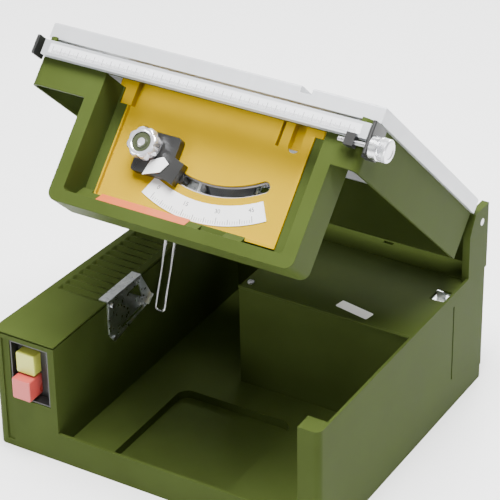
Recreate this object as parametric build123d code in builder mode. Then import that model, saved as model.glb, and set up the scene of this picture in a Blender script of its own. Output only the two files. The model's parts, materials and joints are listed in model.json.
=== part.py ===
"""Compact bench table saw with its table unit raised on the rear hinge.

Millimetres. X to the right, Y to the rear, Z up. The origin is on the bench, under the base.
The base stands on four feet. The table unit (cast table, plastic housing, rail, tilting motor unit)
is built on its own frame, which is turned open by opening_angle about the hinge axis.
"""

import os
from math import acos, cos, degrees, pi, radians, sin, tan

from build123d import *

os.makedirs("parts", exist_ok=True)

# ---- base -------------------------------------------------------------------------------------
base_right = 185.0
base_left_front = -210.0
base_left_rear = -188.0
base_front = -222.0
base_rear = 150.0
base_bottom = 0.0
wall = 3.0
floor_z = 16.0
right_wall_top = 148.0
wing_top = 145.0
wing_inner_x = -131.0
front_wall_top = 36.0
pillar_left = 160.0
pillar_rear = -200.0
rear_wall_top = 190.0
corner_radius = 8.0
dust_bore_radius = 17.5
dust_bore_x = -75.0
dust_bore_z = 62.0
dust_collar_length = 14.0
press_gap = 0.15

seam_y = 72.0
seam_low = 38.0
seam_high = 132.0
seam_width = 2.5
seam_depth = 1.4

pan_left = -78.0
pan_right = 62.0
pan_front = -206.0
pan_rear = -59.0
pan_floor = 6.0
pan_radius = 14.0

deck_z = 140.0
deck_left = -30.0
deck_front = -16.0
deck_step_y = base_rear - 37.0
deck_step = 1.2
deck_thickness = 3.0
catch_x = 169.0
catch_y = 74.0
catch_width = 18.0
catch_length = 22.0
catch_plate = 1.6
slit_x = 69.0
slit_y = base_rear - 8.5
slit_length = 12.0
slit_width = 4.5

post_thickness = 8.5
post_front = base_rear - 44.0
post_top = 222.0
post_chamfer_y = 12.0
post_chamfer_z = 22.0

foot_radius = 11.0

# ---- switch -----------------------------------------------------------------------------------
switch_left = -188.0
switch_right = -139.0
switch_low = 66.0
switch_high = 137.0
switch_depth = 12.0
switch_wall = 2.2
button_width = 23.0
button_height = 25.0
button_x = -169.5
start_z = 111.5
stop_z = 84.5
start_face_y = -221.0
stop_face_y = -231.0
button_travel = 3.0
button_gap = 0.35
groove_left = -198.0
groove_right = -189.5
groove_depth = 1.8
groove_low = 8.0

# ---- wing cover vents -------------------------------------------------------------------------
vent_pitch = 12.0
vent_width = 5.0
vent_first_y = -118.0
vent_count = 15
vent_margin = 12.0

# ---- table unit -------------------------------------------------------------------------------
opening_angle = 44.0
post_to_hinge = 15.0
hinge_y = base_rear - post_to_hinge
hinge_z = 205.0
hinge_drop = 17.0
pin_radius = 4.0
pin_clearance = 0.05
ear_radius = 10.0
ear_width = 17.0
ear_gap = 1.5
ear_drop = 34.0

table_left = -198.0
table_right = base_right
table_depth = 300.0
hinge_behind_table = 31.0
hinge_back = table_depth + hinge_behind_table
table_edge = 17.0
table_rim = 9.0
table_skin = 6.0
table_rib = 4.0
table_ribs = (-142.0,)
table_rib_clear = 72.0
table_chamfer = 1.5
mitre_x = 98.5
mitre_width = 12.7
mitre_depth = 7.0
insert_width = 48.0
insert_length = 140.0
insert_thickness = 4.0
insert_gap = 0.2
insert_ledge = 4.0
insert_corner = 6.0
blade_slot = 4.0
blade_slot_spare = 4.0
blade_y = 140.0

skirt_inset = 4.0
skirt_left = table_left + skirt_inset
skirt_right = table_right - skirt_inset
skirt_front = -10.0
skirt_depth = 70.0
skirt_wall = 3.5
skirt_radius = 12.0

tub_left = -127.0
tub_right = 154.0
tub_low = 178.5
rim_side = 15.0
rim_low = 13.0
rim_corner = 4.0
tub_mouth_top = 40.0
tub_depth = 43.0
tub_radius = 10.0
back_wall = 3.0
front_gap_low = 23.5
ledge_start = 151.5
ledge_front_y = 12.0
ledge_right = 80.0
ledge_slot_x = 45.0
ledge_slot_length = 28.0
ledge_slot_width = 7.0
ledge_clearance = 0.4

# ---- tilt panel, arc and scale ------------------------------------------------------------------
swing_x = 14.0
slot_radius = 118.0
slot_width = 12.0
slot_start = -48.0
slot_end = 31.5
panel_left = -100.0
panel_right = 111.0
panel_low = 158.0
panel_high = 22.0
panel_thickness = 3.0
panel_flange = 6.0
panel_pockets = ((90.5, 13.0, 54.0), (72.0, 3.0, 57.0), (-95.0, 7.0, 57.0))
pocket_behind = 7.0
pocket_wall = 1.5
panel_lip = 4.0
panel_rim = 5.0
tab_left = -113.0
tab_low = 57.0
scale_inner = 132.0
scale_outer = 153.0
label_x = -36.0
label_length = 104.0
label_width = 16.0
scale_start = -25.0
scale_end = 30.0

# ---- rail and fine adjustment -------------------------------------------------------------------
rail_left = table_left + 10.0
rail_right = table_right
rail_top = 24.0
rail_height = 16.0
rail_thickness = 10.0
rail_travel = 3.0
scale_margin = 8.0
scale_border = 3.0
drum_radius = 11.5
drum_length = 19.0
drum_left = table_right + 9.0
drum_down = 46.0
drum_forward = 21.0
spindle_radius = 2.5

# ---- motor unit -----------------------------------------------------------------------------------
blade_radius = 40.0
blade_thickness = 1.6
blade_down = 41.0
arbor_radius = 4.0
bearing_outer = 8.0
bearing_width = 5.0
flange_radius = 9.0
arbor_pulley_radius = 9.0
motor_pulley_radius = 7.0
motor_y = 104.0
motor_down = 88.0
motor_radius = 26.0
motor_length = 86.0
motor_shell = 2.4
armature_radius = 15.5
stator_inner = 16.0
carriage_left = -4.0
carriage_right = 0.0
rod_radius = 3.0
rod_x = -9.0
rod_front_y = 62.0
rod_rear_y = 160.0
boss_radius = 7.0
frame_front_y = 46.0
frame_plate = 4.0
frame_rear_y = 172.0
knob_angle = -36.6
knob_radius = 17.0
knob_face_y = 5.0
module = 1.0
pinion_teeth = 14
running = 0.05
apart = 0.35


def flat(frame, x, y, z):
    """A plane parallel to the frame's own floor, through a point of the frame."""
    return Plane(frame.from_local_coords((x, y, z)), x_dir=frame.x_dir, z_dir=frame.z_dir)


def facing(frame, x, y, z):
    """A plane that faces the front of the frame: across is x, up is z."""
    return Plane(frame.from_local_coords((x, y, z)), x_dir=frame.x_dir, z_dir=-frame.y_dir)


def sideways(frame, x, y, z):
    """A plane that faces the frame's right side: across is y, up is z."""
    return Plane(frame.from_local_coords((x, y, z)), x_dir=frame.y_dir, z_dir=frame.x_dir)


def on_arc(radius, angle):
    """Across and up, from the table's top, of a point on a circle about the swing axis."""
    return (swing_x + radius * sin(radians(angle)), -radius * cos(radians(angle)))


def sector(inner, outer, start, end):
    """A face between two circles about the swing axis; angles turn from straight down to the right."""
    with BuildSketch(Plane.XY, mode=Mode.PRIVATE) as band:
        with BuildLine():
            low = CenterArc((swing_x, 0), inner, start - 90, end - start)
            high = CenterArc((swing_x, 0), outer, start - 90, end - start)
            Line(low @ 0, high @ 0)
            Line(low @ 1, high @ 1)
        make_face()
    return band.sketch


def arc_slot(radius, width, start, end):
    """A round-ended slot along a circle about the swing axis, measured between its end centres."""
    with BuildSketch(Plane.XY, mode=Mode.PRIVATE) as slot:
        add(sector(radius - width / 2, radius + width / 2, start, end))
        with Locations(on_arc(radius, start), on_arc(radius, end)):
            Circle(width / 2)
    return slot.sketch


def finish(builder, name):
    builder.part.label = name
    export_step(builder.part, f"parts/{name}.step")


world = Plane.XY
opening = radians(opening_angle)
hinge = Plane(origin=(0, hinge_y, hinge_z), x_dir=(1, 0, 0), z_dir=(0, sin(opening), cos(opening)))
table = flat(hinge, 0, -hinge_back, hinge_drop)

pan_width = pan_right - pan_left
pan_length = pan_rear - pan_front
pan_centre = ((pan_left + pan_right) / 2, (pan_front + pan_rear) / 2)
well_right = base_right - wall
wing_wall_x = wing_inner_x - wall
base_height = right_wall_top - base_bottom
cover_thickness = wall
left_slope = (base_left_rear - base_left_front) / (base_rear - base_front)


def left_at(y):
    """The base's outer left side at a given y: its plan narrows to the rear."""
    return base_left_front + left_slope * (y - base_front)


# ================================================================================ base housing
with BuildPart() as base_housing:
    with BuildSketch(world.offset(base_bottom)):
        with BuildLine():
            Polyline(
                (base_left_front, base_front),
                (base_right, base_front),
                (base_right, base_rear),
                (base_left_rear, base_rear),
                close=True,
            )
        make_face()
    extrude(amount=base_height)
    fillet(base_housing.edges().filter_by(Axis.Z), corner_radius)
    # the chip well, between the wing and the right wall
    with BuildSketch(world.offset(floor_z)):
        with BuildLine():
            Polyline(
                (wing_inner_x, base_front + wall),
                (pillar_left, base_front + wall),
                (pillar_left, pillar_rear),
                (well_right, pillar_rear),
                (well_right, base_rear - wall),
                (wing_inner_x, base_rear - wall),
                close=True,
            )
        make_face()
    extrude(amount=base_height, mode=Mode.SUBTRACT)
    # the low front wall lets the hanging front of the table unit through
    with BuildSketch(world.offset(front_wall_top)):
        with Locations(((wing_inner_x + pillar_left) / 2, base_front + wall / 2)):
            Rectangle(pillar_left - wing_inner_x, 3 * wall)
    extrude(amount=base_height, mode=Mode.SUBTRACT)
    # the wing: a closed compartment for switch and electronics, under its own cover
    with BuildSketch(world.offset(floor_z)):
        with BuildLine():
            Polyline(
                (left_at(base_front + wall) + wall, base_front + wall),
                (wing_wall_x, base_front + wall),
                (wing_wall_x, base_rear - wall),
                (left_at(base_rear - wall) + wall, base_rear - wall),
                close=True,
            )
        make_face()
    extrude(amount=base_height, mode=Mode.SUBTRACT)
    with BuildSketch(world.offset(wing_top - cover_thickness)):
        with Locations(((base_left_front + wing_inner_x) / 2 - wall, 0)):
            Rectangle(wing_inner_x - base_left_front + 2 * wall, 2 * (base_rear - base_front))
    extrude(amount=base_height, mode=Mode.SUBTRACT)
    # hollow under the floor and under the pan, inside the right front pillar, and the sunk pan
    with BuildSketch(world.offset(base_bottom)):
        with Locations(pan_centre):
            RectangleRounded(pan_width + 2 * wall, pan_length + 2 * wall, pan_radius + wall)
    extrude(amount=pan_floor - wall - base_bottom, mode=Mode.SUBTRACT)
    with BuildSketch(world.offset(base_bottom)):
        with BuildLine():
            Polyline(
                (left_at(base_front) + 2 * wall, base_front + wall),
                (base_right - wall, base_front + wall),
                (base_right - wall, base_rear - wall),
                (left_at(base_rear) + wall, base_rear - wall),
                close=True,
            )
        make_face()
        with Locations(pan_centre):
            RectangleRounded(pan_width + 2 * wall, pan_length + 2 * wall, pan_radius + wall, mode=Mode.SUBTRACT)
    extrude(amount=floor_z - wall - base_bottom, mode=Mode.SUBTRACT)
    with BuildSketch(world.offset(base_bottom)):
        with Locations(((pillar_left + base_right) / 2, (base_front + pillar_rear) / 2)):
            Rectangle(base_right - pillar_left - 2 * wall, pillar_rear - base_front - 2 * wall)
    extrude(amount=base_height - wall, mode=Mode.SUBTRACT)
    with BuildSketch(world.offset(pan_floor)):
        with Locations(pan_centre):
            RectangleRounded(pan_width, pan_length, pan_radius)
    extrude(amount=base_height, mode=Mode.SUBTRACT)
    # the rear wall and the two posts that carry the hinge
    with BuildSketch(world.offset(floor_z)):
        with Locations(((base_left_rear + base_right) / 2, base_rear - wall / 2)):
            Rectangle(base_right - base_left_rear - corner_radius, wall)
    extrude(amount=rear_wall_top - floor_z)
    for post_x in (base_right - post_thickness, base_left_rear + ear_gap):
        with BuildSketch(sideways(world, post_x, 0, 0)):
            with BuildLine():
                Polyline(
                    (post_front, wing_top - wall),
                    (base_rear, wing_top - wall),
                    (base_rear, post_top),
                    (post_front + post_chamfer_y, post_top),
                    (post_front, post_top - post_chamfer_z),
                    close=True,
                )
            make_face()
            with Locations((hinge_y, hinge_z)):
                Circle(pin_radius, mode=Mode.SUBTRACT)
        extrude(amount=post_thickness)
    # the right post stands on a pad that reaches down to the floor
    with BuildSketch(world.offset(floor_z)):
        with Locations((base_right - post_thickness / 2, (post_front + base_rear) / 2)):
            Rectangle(post_thickness, base_rear - post_front - corner_radius)
    extrude(amount=wing_top - floor_z)
    # the switch opening and the shallow groove beside it
    with BuildSketch(facing(world, 0, base_front, 0)):
        with Locations(((switch_left + switch_right) / 2, (switch_low + switch_high) / 2)):
            Rectangle(switch_right - switch_left, switch_high - switch_low)
    extrude(amount=-2 * wall, mode=Mode.SUBTRACT)
    with BuildSketch(facing(world, 0, base_front, 0)):
        with Locations(((groove_left + groove_right) / 2, (groove_low + switch_high) / 2)):
            Rectangle(groove_right - groove_left, switch_high - groove_low)
    extrude(amount=-groove_depth, mode=Mode.SUBTRACT)
    # a seam runs down the outside of the right wall from the catch
    with BuildSketch(sideways(world, base_right, 0, 0)):
        with Locations((seam_y, (seam_low + seam_high) / 2)):
            SlotOverall(seam_high - seam_low, seam_width, rotation=90)
    extrude(amount=-seam_depth, mode=Mode.SUBTRACT)
    # the dust outlet with its collar, low in the rear wall
    with BuildSketch(facing(world, dust_bore_x, base_rear, dust_bore_z)):
        Circle(dust_bore_radius + wall)
    extrude(amount=dust_collar_length)
    with BuildSketch(facing(world, dust_bore_x, base_rear, dust_bore_z)):
        Circle(dust_bore_radius)
    extrude(amount=dust_collar_length, mode=Mode.SUBTRACT)
finish(base_housing, "base_housing")

# ================================================================================= wing cover
vent_right = wing_inner_x - vent_margin
cover_lip = 2.0
skirt_start = base_front + wall + switch_depth + 2
skirt_end = post_front - 8
with BuildPart() as wing_cover:
    with BuildSketch(world.offset(wing_top - cover_thickness)):
        with BuildLine():
            Polyline(
                (base_left_front, base_front),
                (wing_inner_x, base_front),
                (wing_inner_x, post_front - ear_gap),
                (left_at(post_front), post_front - ear_gap),
                close=True,
            )
        make_face()
    extrude(amount=cover_thickness)
    fillet(wing_cover.edges().filter_by(Axis.Z).group_by(Axis.Y)[0].sort_by(Axis.X)[0], corner_radius)
    # a skirt inside the walls keeps the cover in place
    with BuildSketch(world.offset(wing_top - 3 * cover_thickness)):
        with BuildLine():
            Polyline(
                (left_at(skirt_start) + wall + press_gap, skirt_start),
                (wing_wall_x - press_gap, skirt_start),
                (wing_wall_x - press_gap, skirt_end),
                (left_at(skirt_end) + wall + press_gap, skirt_end),
                close=True,
            )
        make_face()
        offset(amount=-cover_lip, mode=Mode.SUBTRACT)
    extrude(amount=2 * cover_thickness)
    for number in range(vent_count):
        vent_y = vent_first_y + number * vent_pitch
        vent_left = left_at(vent_y) + vent_margin
        with BuildSketch(world.offset(wing_top - cover_thickness)):
            with Locations(((vent_left + vent_right) / 2, vent_y)):
                SlotOverall(vent_right - vent_left, vent_width)
        extrude(amount=cover_thickness, mode=Mode.SUBTRACT)
finish(wing_cover, "wing_cover")

# ======================================================================================= deck
deck_right = well_right - press_gap
deck_rear = base_rear - wall - press_gap
deck_lip_radius = 2.0
screw_shank = 1.6
screw_length = 8.0
screw_head = 3.4
screw_head_height = 2.2
deck_screw_x = deck_left + 8
deck_screw_places = [(deck_screw_x, deck_front + 12), (deck_screw_x, deck_step_y - 12)]
with BuildPart() as deck_cover:
    with BuildSketch(sideways(world, deck_left, 0, 0)):
        with BuildLine():
            Polyline(
                (deck_front, floor_z),
                (deck_front, deck_z),
                (deck_step_y, deck_z),
                (deck_step_y, deck_z + deck_step),
                (deck_rear, deck_z + deck_step),
                (deck_rear, deck_z - deck_thickness),
                (deck_front + deck_thickness, deck_z - deck_thickness),
                (deck_front + deck_thickness, floor_z),
                close=True,
            )
        make_face()
    extrude(amount=deck_right - deck_left)
    with BuildSketch(sideways(world, deck_left, 0, 0)):
        with Locations(((deck_front + deck_rear) / 2, (floor_z + deck_z) / 2)):
            Rectangle(deck_rear - deck_front, deck_z - floor_z)
    extrude(amount=deck_thickness)
    # a rolled lip along the front edge
    with BuildSketch(sideways(world, deck_left, deck_front, deck_z)):
        Circle(deck_lip_radius)
    extrude(amount=deck_right - deck_left)
    with BuildSketch(world.offset(deck_z - deck_thickness)):
        with Locations(*deck_screw_places):
            Circle(screw_shank + press_gap)
    extrude(amount=2 * deck_thickness, mode=Mode.SUBTRACT)
    # the catch's window and a slit in front of the rear wall
    with BuildSketch(world.offset(deck_z - deck_thickness)):
        with Locations((catch_x, catch_y)):
            Rectangle(catch_width, catch_length)
        with Locations((slit_x, slit_y)):
            Rectangle(slit_length, slit_width)
    extrude(amount=3 * deck_thickness, mode=Mode.SUBTRACT)
    # clear of the right post's pad
    with BuildSketch(world.offset(floor_z)):
        with Locations((base_right - post_thickness / 2, (post_front + base_rear) / 2)):
            Rectangle(post_thickness + 2 * press_gap, base_rear - post_front + 2 * press_gap)
    extrude(amount=base_height, mode=Mode.SUBTRACT)
finish(deck_cover, "deck_cover")

catch_flange_x = 2.0
catch_flange_y = 4.0
hook_half = 5.0
hook_top = deck_z + 6.0
hook_cut = 3.0
catch_screw_head = 3.2
catch_screw_height = 1.8
with BuildPart() as deck_catch:
    # a plate under the window, with an upright hook for the closed table unit
    with BuildSketch(world.offset(deck_z - deck_thickness - catch_plate)):
        with Locations((catch_x, catch_y)):
            Rectangle(catch_width + 2 * catch_flange_x, catch_length + 2 * catch_flange_y)
    extrude(amount=catch_plate)
    with BuildSketch(facing(world, catch_x, catch_y, 0)):
        with BuildLine():
            Polyline(
                (-hook_half, deck_z - deck_thickness),
                (hook_half, deck_z - deck_thickness),
                (hook_half, hook_top - 4),
                (hook_half - hook_cut, hook_top),
                (-hook_half, hook_top),
                close=True,
            )
        make_face()
    extrude(amount=catch_plate)
    with BuildSketch(world.offset(deck_z - deck_thickness)):
        with Locations((catch_x + 3, catch_y - 7)):
            Circle(catch_screw_head)
    extrude(amount=catch_screw_height)
finish(deck_catch, "deck_catch")

card = 0.4
deck_label_place = (101.5, 3.0, 0.0)
deck_label_turn = -11.0
deck_label_length = 42.0
deck_label_width = 13.0
with BuildPart() as deck_label:
    with BuildSketch(world.offset(deck_z)):
        with Locations(Location(deck_label_place, (0, 0, deck_label_turn))):
            RectangleRounded(deck_label_length, deck_label_width, 1.5)
    extrude(amount=card)
finish(deck_label, "deck_label")

with BuildPart() as deck_screws:
    with BuildSketch(world.offset(deck_z)):
        with Locations(*deck_screw_places):
            Circle(screw_head)
    extrude(amount=screw_head_height)
    with BuildSketch(world.offset(deck_z - screw_length)):
        with Locations(*deck_screw_places):
            Circle(screw_shank)
    extrude(amount=screw_length)
finish(deck_screws, "deck_screws")

# ======================================================================================= feet
foot_inset = 22.0
front_foot_y = base_front + 18.0
foot_chamfer = 1.2
foot_places = [
    (left_at(base_front) + foot_inset, front_foot_y),
    (base_right - 2 * foot_inset, front_foot_y),
    (base_right - foot_inset, base_rear - foot_inset),
    (left_at(base_rear) + foot_inset, base_rear - foot_inset),
]
with BuildPart() as feet:
    with BuildSketch(world):
        with Locations(*foot_places):
            Circle(foot_radius)
    extrude(amount=floor_z - wall)
    chamfer(feet.faces().sort_by(Axis.Z)[0].edges(), foot_chamfer)
finish(feet, "feet")

# ====================================================================================== switch
switch_front = base_front + 1.0
switch_width = switch_right - switch_left
switch_height = switch_high - switch_low
switch_middle = ((switch_left + switch_right) / 2, (switch_low + switch_high) / 2)
with BuildPart() as switch_housing:
    with BuildSketch(facing(world, 0, switch_front, 0)):
        with Locations(switch_middle):
            Rectangle(switch_width - 2 * press_gap, switch_height - 2 * press_gap)
            Rectangle(switch_width - 2 * switch_wall, switch_height - 2 * switch_wall, mode=Mode.SUBTRACT)
    extrude(amount=-switch_depth)
    with BuildSketch(facing(world, 0, switch_front + switch_depth, 0)):
        with Locations(switch_middle):
            Rectangle(switch_width - 2 * press_gap, switch_height - 2 * press_gap)
        with Locations((button_x, start_z), (button_x, stop_z)):
            Rectangle(button_width + 2 * button_gap, button_height + 2 * button_gap, mode=Mode.SUBTRACT)
    extrude(amount=-switch_wall)
finish(switch_housing, "switch_housing")

switch_back = switch_front + switch_depth + switch_wall
button_tail = 3.0
button_corner = 2.0
button_edge = 1.4


def make_button(name, face_y, centre_z):
    """A square button with a softened face, guided by the switch housing's window."""
    with BuildPart() as button:
        with BuildSketch(facing(world, button_x, face_y, centre_z)):
            RectangleRounded(button_width, button_height, button_corner)
        extrude(amount=-(switch_back + button_tail - face_y))
        fillet(button.faces().sort_by(Axis.Y)[0].edges(), button_edge)
    finish(button, name)


make_button("start_button", start_face_y, start_z)
make_button("stop_button", stop_face_y, stop_z)

block_front = switch_back + button_tail + button_travel + 0.4
block_depth = 26.0
with BuildPart() as switch_block:
    with BuildSketch(facing(world, 0, block_front, 0)):
        with Locations((button_x, (start_z + stop_z) / 2)):
            Rectangle(button_width + 8, 2 * button_height + 2)
    extrude(amount=-block_depth)
finish(switch_block, "switch_block")

board_place = (-166.0, -70.0)
board_width = 48.0
board_length = 110.0
board_thickness = 1.6
pillar_height = 6.0
pillar_radius = 3.0
board_top = floor_z + pillar_height + board_thickness
heat_sink_place = (-170.0, -98.0)
heat_sink_height = 24.0
capacitor_places = ((-158.0, -50.0), (-176.0, -44.0))
capacitor_radius = 7.0
capacitor_height = 20.0
with BuildPart() as circuit_board:
    with BuildSketch(world.offset(board_top - board_thickness)):
        with Locations(board_place):
            Rectangle(board_width, board_length)
    extrude(amount=board_thickness)
    with BuildSketch(world.offset(floor_z)):
        with Locations(board_place):
            with GridLocations(board_width - 10, board_length - 12, 2, 2):
                Circle(pillar_radius)
    extrude(amount=pillar_height)
    with BuildSketch(world.offset(board_top)):
        with Locations(heat_sink_place):
            Rectangle(26, 32)
    extrude(amount=heat_sink_height)
    with BuildSketch(world.offset(board_top)):
        with Locations(*capacitor_places):
            Circle(capacitor_radius)
    extrude(amount=capacitor_height)
finish(circuit_board, "circuit_board")

gland_x = -160.0
gland_z = 40.0
gland_radius = 7.0
gland_bore = 3.6
gland_length = 8.0
with BuildPart() as cable_gland:
    with BuildSketch(facing(world, gland_x, base_rear - wall - gland_length, gland_z)):
        Circle(gland_radius)
        Circle(gland_bore, mode=Mode.SUBTRACT)
    extrude(amount=-gland_length)
finish(cable_gland, "cable_gland")

# ========================================================================== bracket and hinge pins
bracket_plate = 2.0
bracket_front_y = -122.0
bracket_rear_y = -57.0
bracket_low = 91.0
bracket_heel_z = 104.0
ear_foot = (-48.0, bracket_heel_z)
ear_tip = (-38.0, 112.0)
ear_reach = 4.5
bracket_flange = 10.0
foot_slot_place = (-76.0, 103.5, 0.0)
foot_slot_turn = 6.0
foot_slot_length = 44.0
foot_slot_width = 5.5
bracket_window = ((-84.0, 138.0), (-62.0, 138.0), (-56.0, 117.0))
with BuildPart() as stay_bracket:
    with BuildSketch(sideways(world, wing_inner_x, 0, 0)):
        with BuildLine():
            Polyline(
                (bracket_front_y, wing_top),
                (bracket_rear_y, wing_top),
                ear_tip,
                ear_foot,
                (bracket_front_y + 10, bracket_low),
                (bracket_front_y, bracket_heel_z),
                close=True,
            )
        make_face()
        # a long slot for the stay's foot and a triangular window
        with Locations(Location(foot_slot_place, (0, 0, foot_slot_turn))):
            SlotOverall(foot_slot_length, foot_slot_width, mode=Mode.SUBTRACT)
        with BuildLine():
            Polyline(*bracket_window, close=True)
        make_face(mode=Mode.SUBTRACT)
    extrude(amount=bracket_plate)
    # the flange lies on the wing cover's inner edge
    with BuildSketch(world.offset(wing_top)):
        flange_x = wing_inner_x + (bracket_plate - bracket_flange) / 2
        with Locations((flange_x, (bracket_front_y + bracket_rear_y) / 2)):
            Rectangle(bracket_flange + bracket_plate, bracket_rear_y - bracket_front_y)
    extrude(amount=bracket_plate)
    # a small bent ear at the rear end
    with BuildSketch(sideways(world, wing_inner_x, 0, 0)):
        with BuildLine():
            Polyline(ear_foot, ear_tip, (-39.3, 113.6), (-49.3, 105.6), close=True)
        make_face()
    extrude(amount=ear_reach)
finish(stay_bracket, "stay_bracket")

bracket_screw_head = 3.0
bracket_screw_height = 1.8
bracket_screw_places = ((-114.0, 97.0), (-114.0, 138.0))
with BuildPart() as bracket_screws:
    for screw_y, screw_z in bracket_screw_places:
        with BuildSketch(sideways(world, wing_inner_x + bracket_plate, screw_y, screw_z)):
            Circle(bracket_screw_head)
        extrude(amount=bracket_screw_height)
finish(bracket_screws, "bracket_screws")

right_ear_x = base_right - post_thickness - ear_gap - ear_width
left_ear_x = base_left_rear + ear_gap + post_thickness + ear_gap
with BuildPart() as hinge_pins:
    with BuildSketch(sideways(world, right_ear_x, hinge_y, hinge_z)):
        Circle(pin_radius)
    extrude(amount=base_right - right_ear_x)
    with BuildSketch(sideways(world, base_left_rear + ear_gap, hinge_y, hinge_z)):
        Circle(pin_radius)
    extrude(amount=left_ear_x + ear_width - base_left_rear - ear_gap)
finish(hinge_pins, "hinge_pins")

# ======================================================================================= table
with BuildPart() as saw_table:
    with BuildSketch(flat(table, (table_left + table_right) / 2, table_depth / 2, -table_edge)):
        Rectangle(table_right - table_left, table_depth)
    extrude(amount=table_edge)
    chamfer(saw_table.faces().sort_by(Axis(table.origin, table.z_dir))[-1].edges(), table_chamfer)
    # ribbed underside: pockets leave the skin, a rim and ribs
    pocket_depth = table_edge - table_skin
    for low, high in (
        (table_left + table_rim, table_ribs[0]),
        (table_ribs[0], swing_x - table_rib_clear),
        (swing_x - table_rib_clear, mitre_x - mitre_width),
        (mitre_x + mitre_width, table_right - table_rim),
    ):
        with BuildSketch(flat(table, (low + high) / 2, table_depth / 2, -table_edge)):
            Rectangle(high - low - table_rib, table_depth - 2 * table_rim)
        extrude(amount=pocket_depth, mode=Mode.SUBTRACT)
    # mitre groove from front to back
    with BuildSketch(flat(table, mitre_x, table_depth / 2, -mitre_depth)):
        Rectangle(mitre_width, table_depth)
    extrude(amount=mitre_depth, mode=Mode.SUBTRACT)
    # blade opening with a ledge for the insert
    with BuildSketch(flat(table, swing_x, blade_y, -insert_thickness)):
        RectangleRounded(insert_width, insert_length, insert_corner)
    extrude(amount=insert_thickness, mode=Mode.SUBTRACT)
    with BuildSketch(flat(table, swing_x, blade_y, -table_edge)):
        RectangleRounded(insert_width - 2 * insert_ledge, insert_length - 2 * insert_ledge, insert_corner - 2)
    extrude(amount=table_edge, mode=Mode.SUBTRACT)
finish(saw_table, "saw_table")

with BuildPart() as table_insert:
    with BuildSketch(flat(table, swing_x, blade_y, -insert_thickness)):
        RectangleRounded(
            insert_width - 2 * insert_gap,
            insert_length - 2 * insert_gap,
            insert_corner - insert_gap,
        )
    extrude(amount=insert_thickness)
    # the slot leans to the right underneath, so that the tilted blade clears it
    with BuildSketch(facing(table, swing_x, blade_y - blade_radius - blade_slot_spare, 0)):
        with BuildLine():
            Polyline(
                (-blade_slot / 2, 0),
                (blade_slot / 2, 0),
                (blade_slot / 2 + 1.2 * insert_thickness, -insert_thickness),
                (-blade_slot / 2, -insert_thickness),
                close=True,
            )
        make_face()
    extrude(amount=-2 * (blade_radius + blade_slot_spare), mode=Mode.SUBTRACT)
finish(table_insert, "table_insert")

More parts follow.
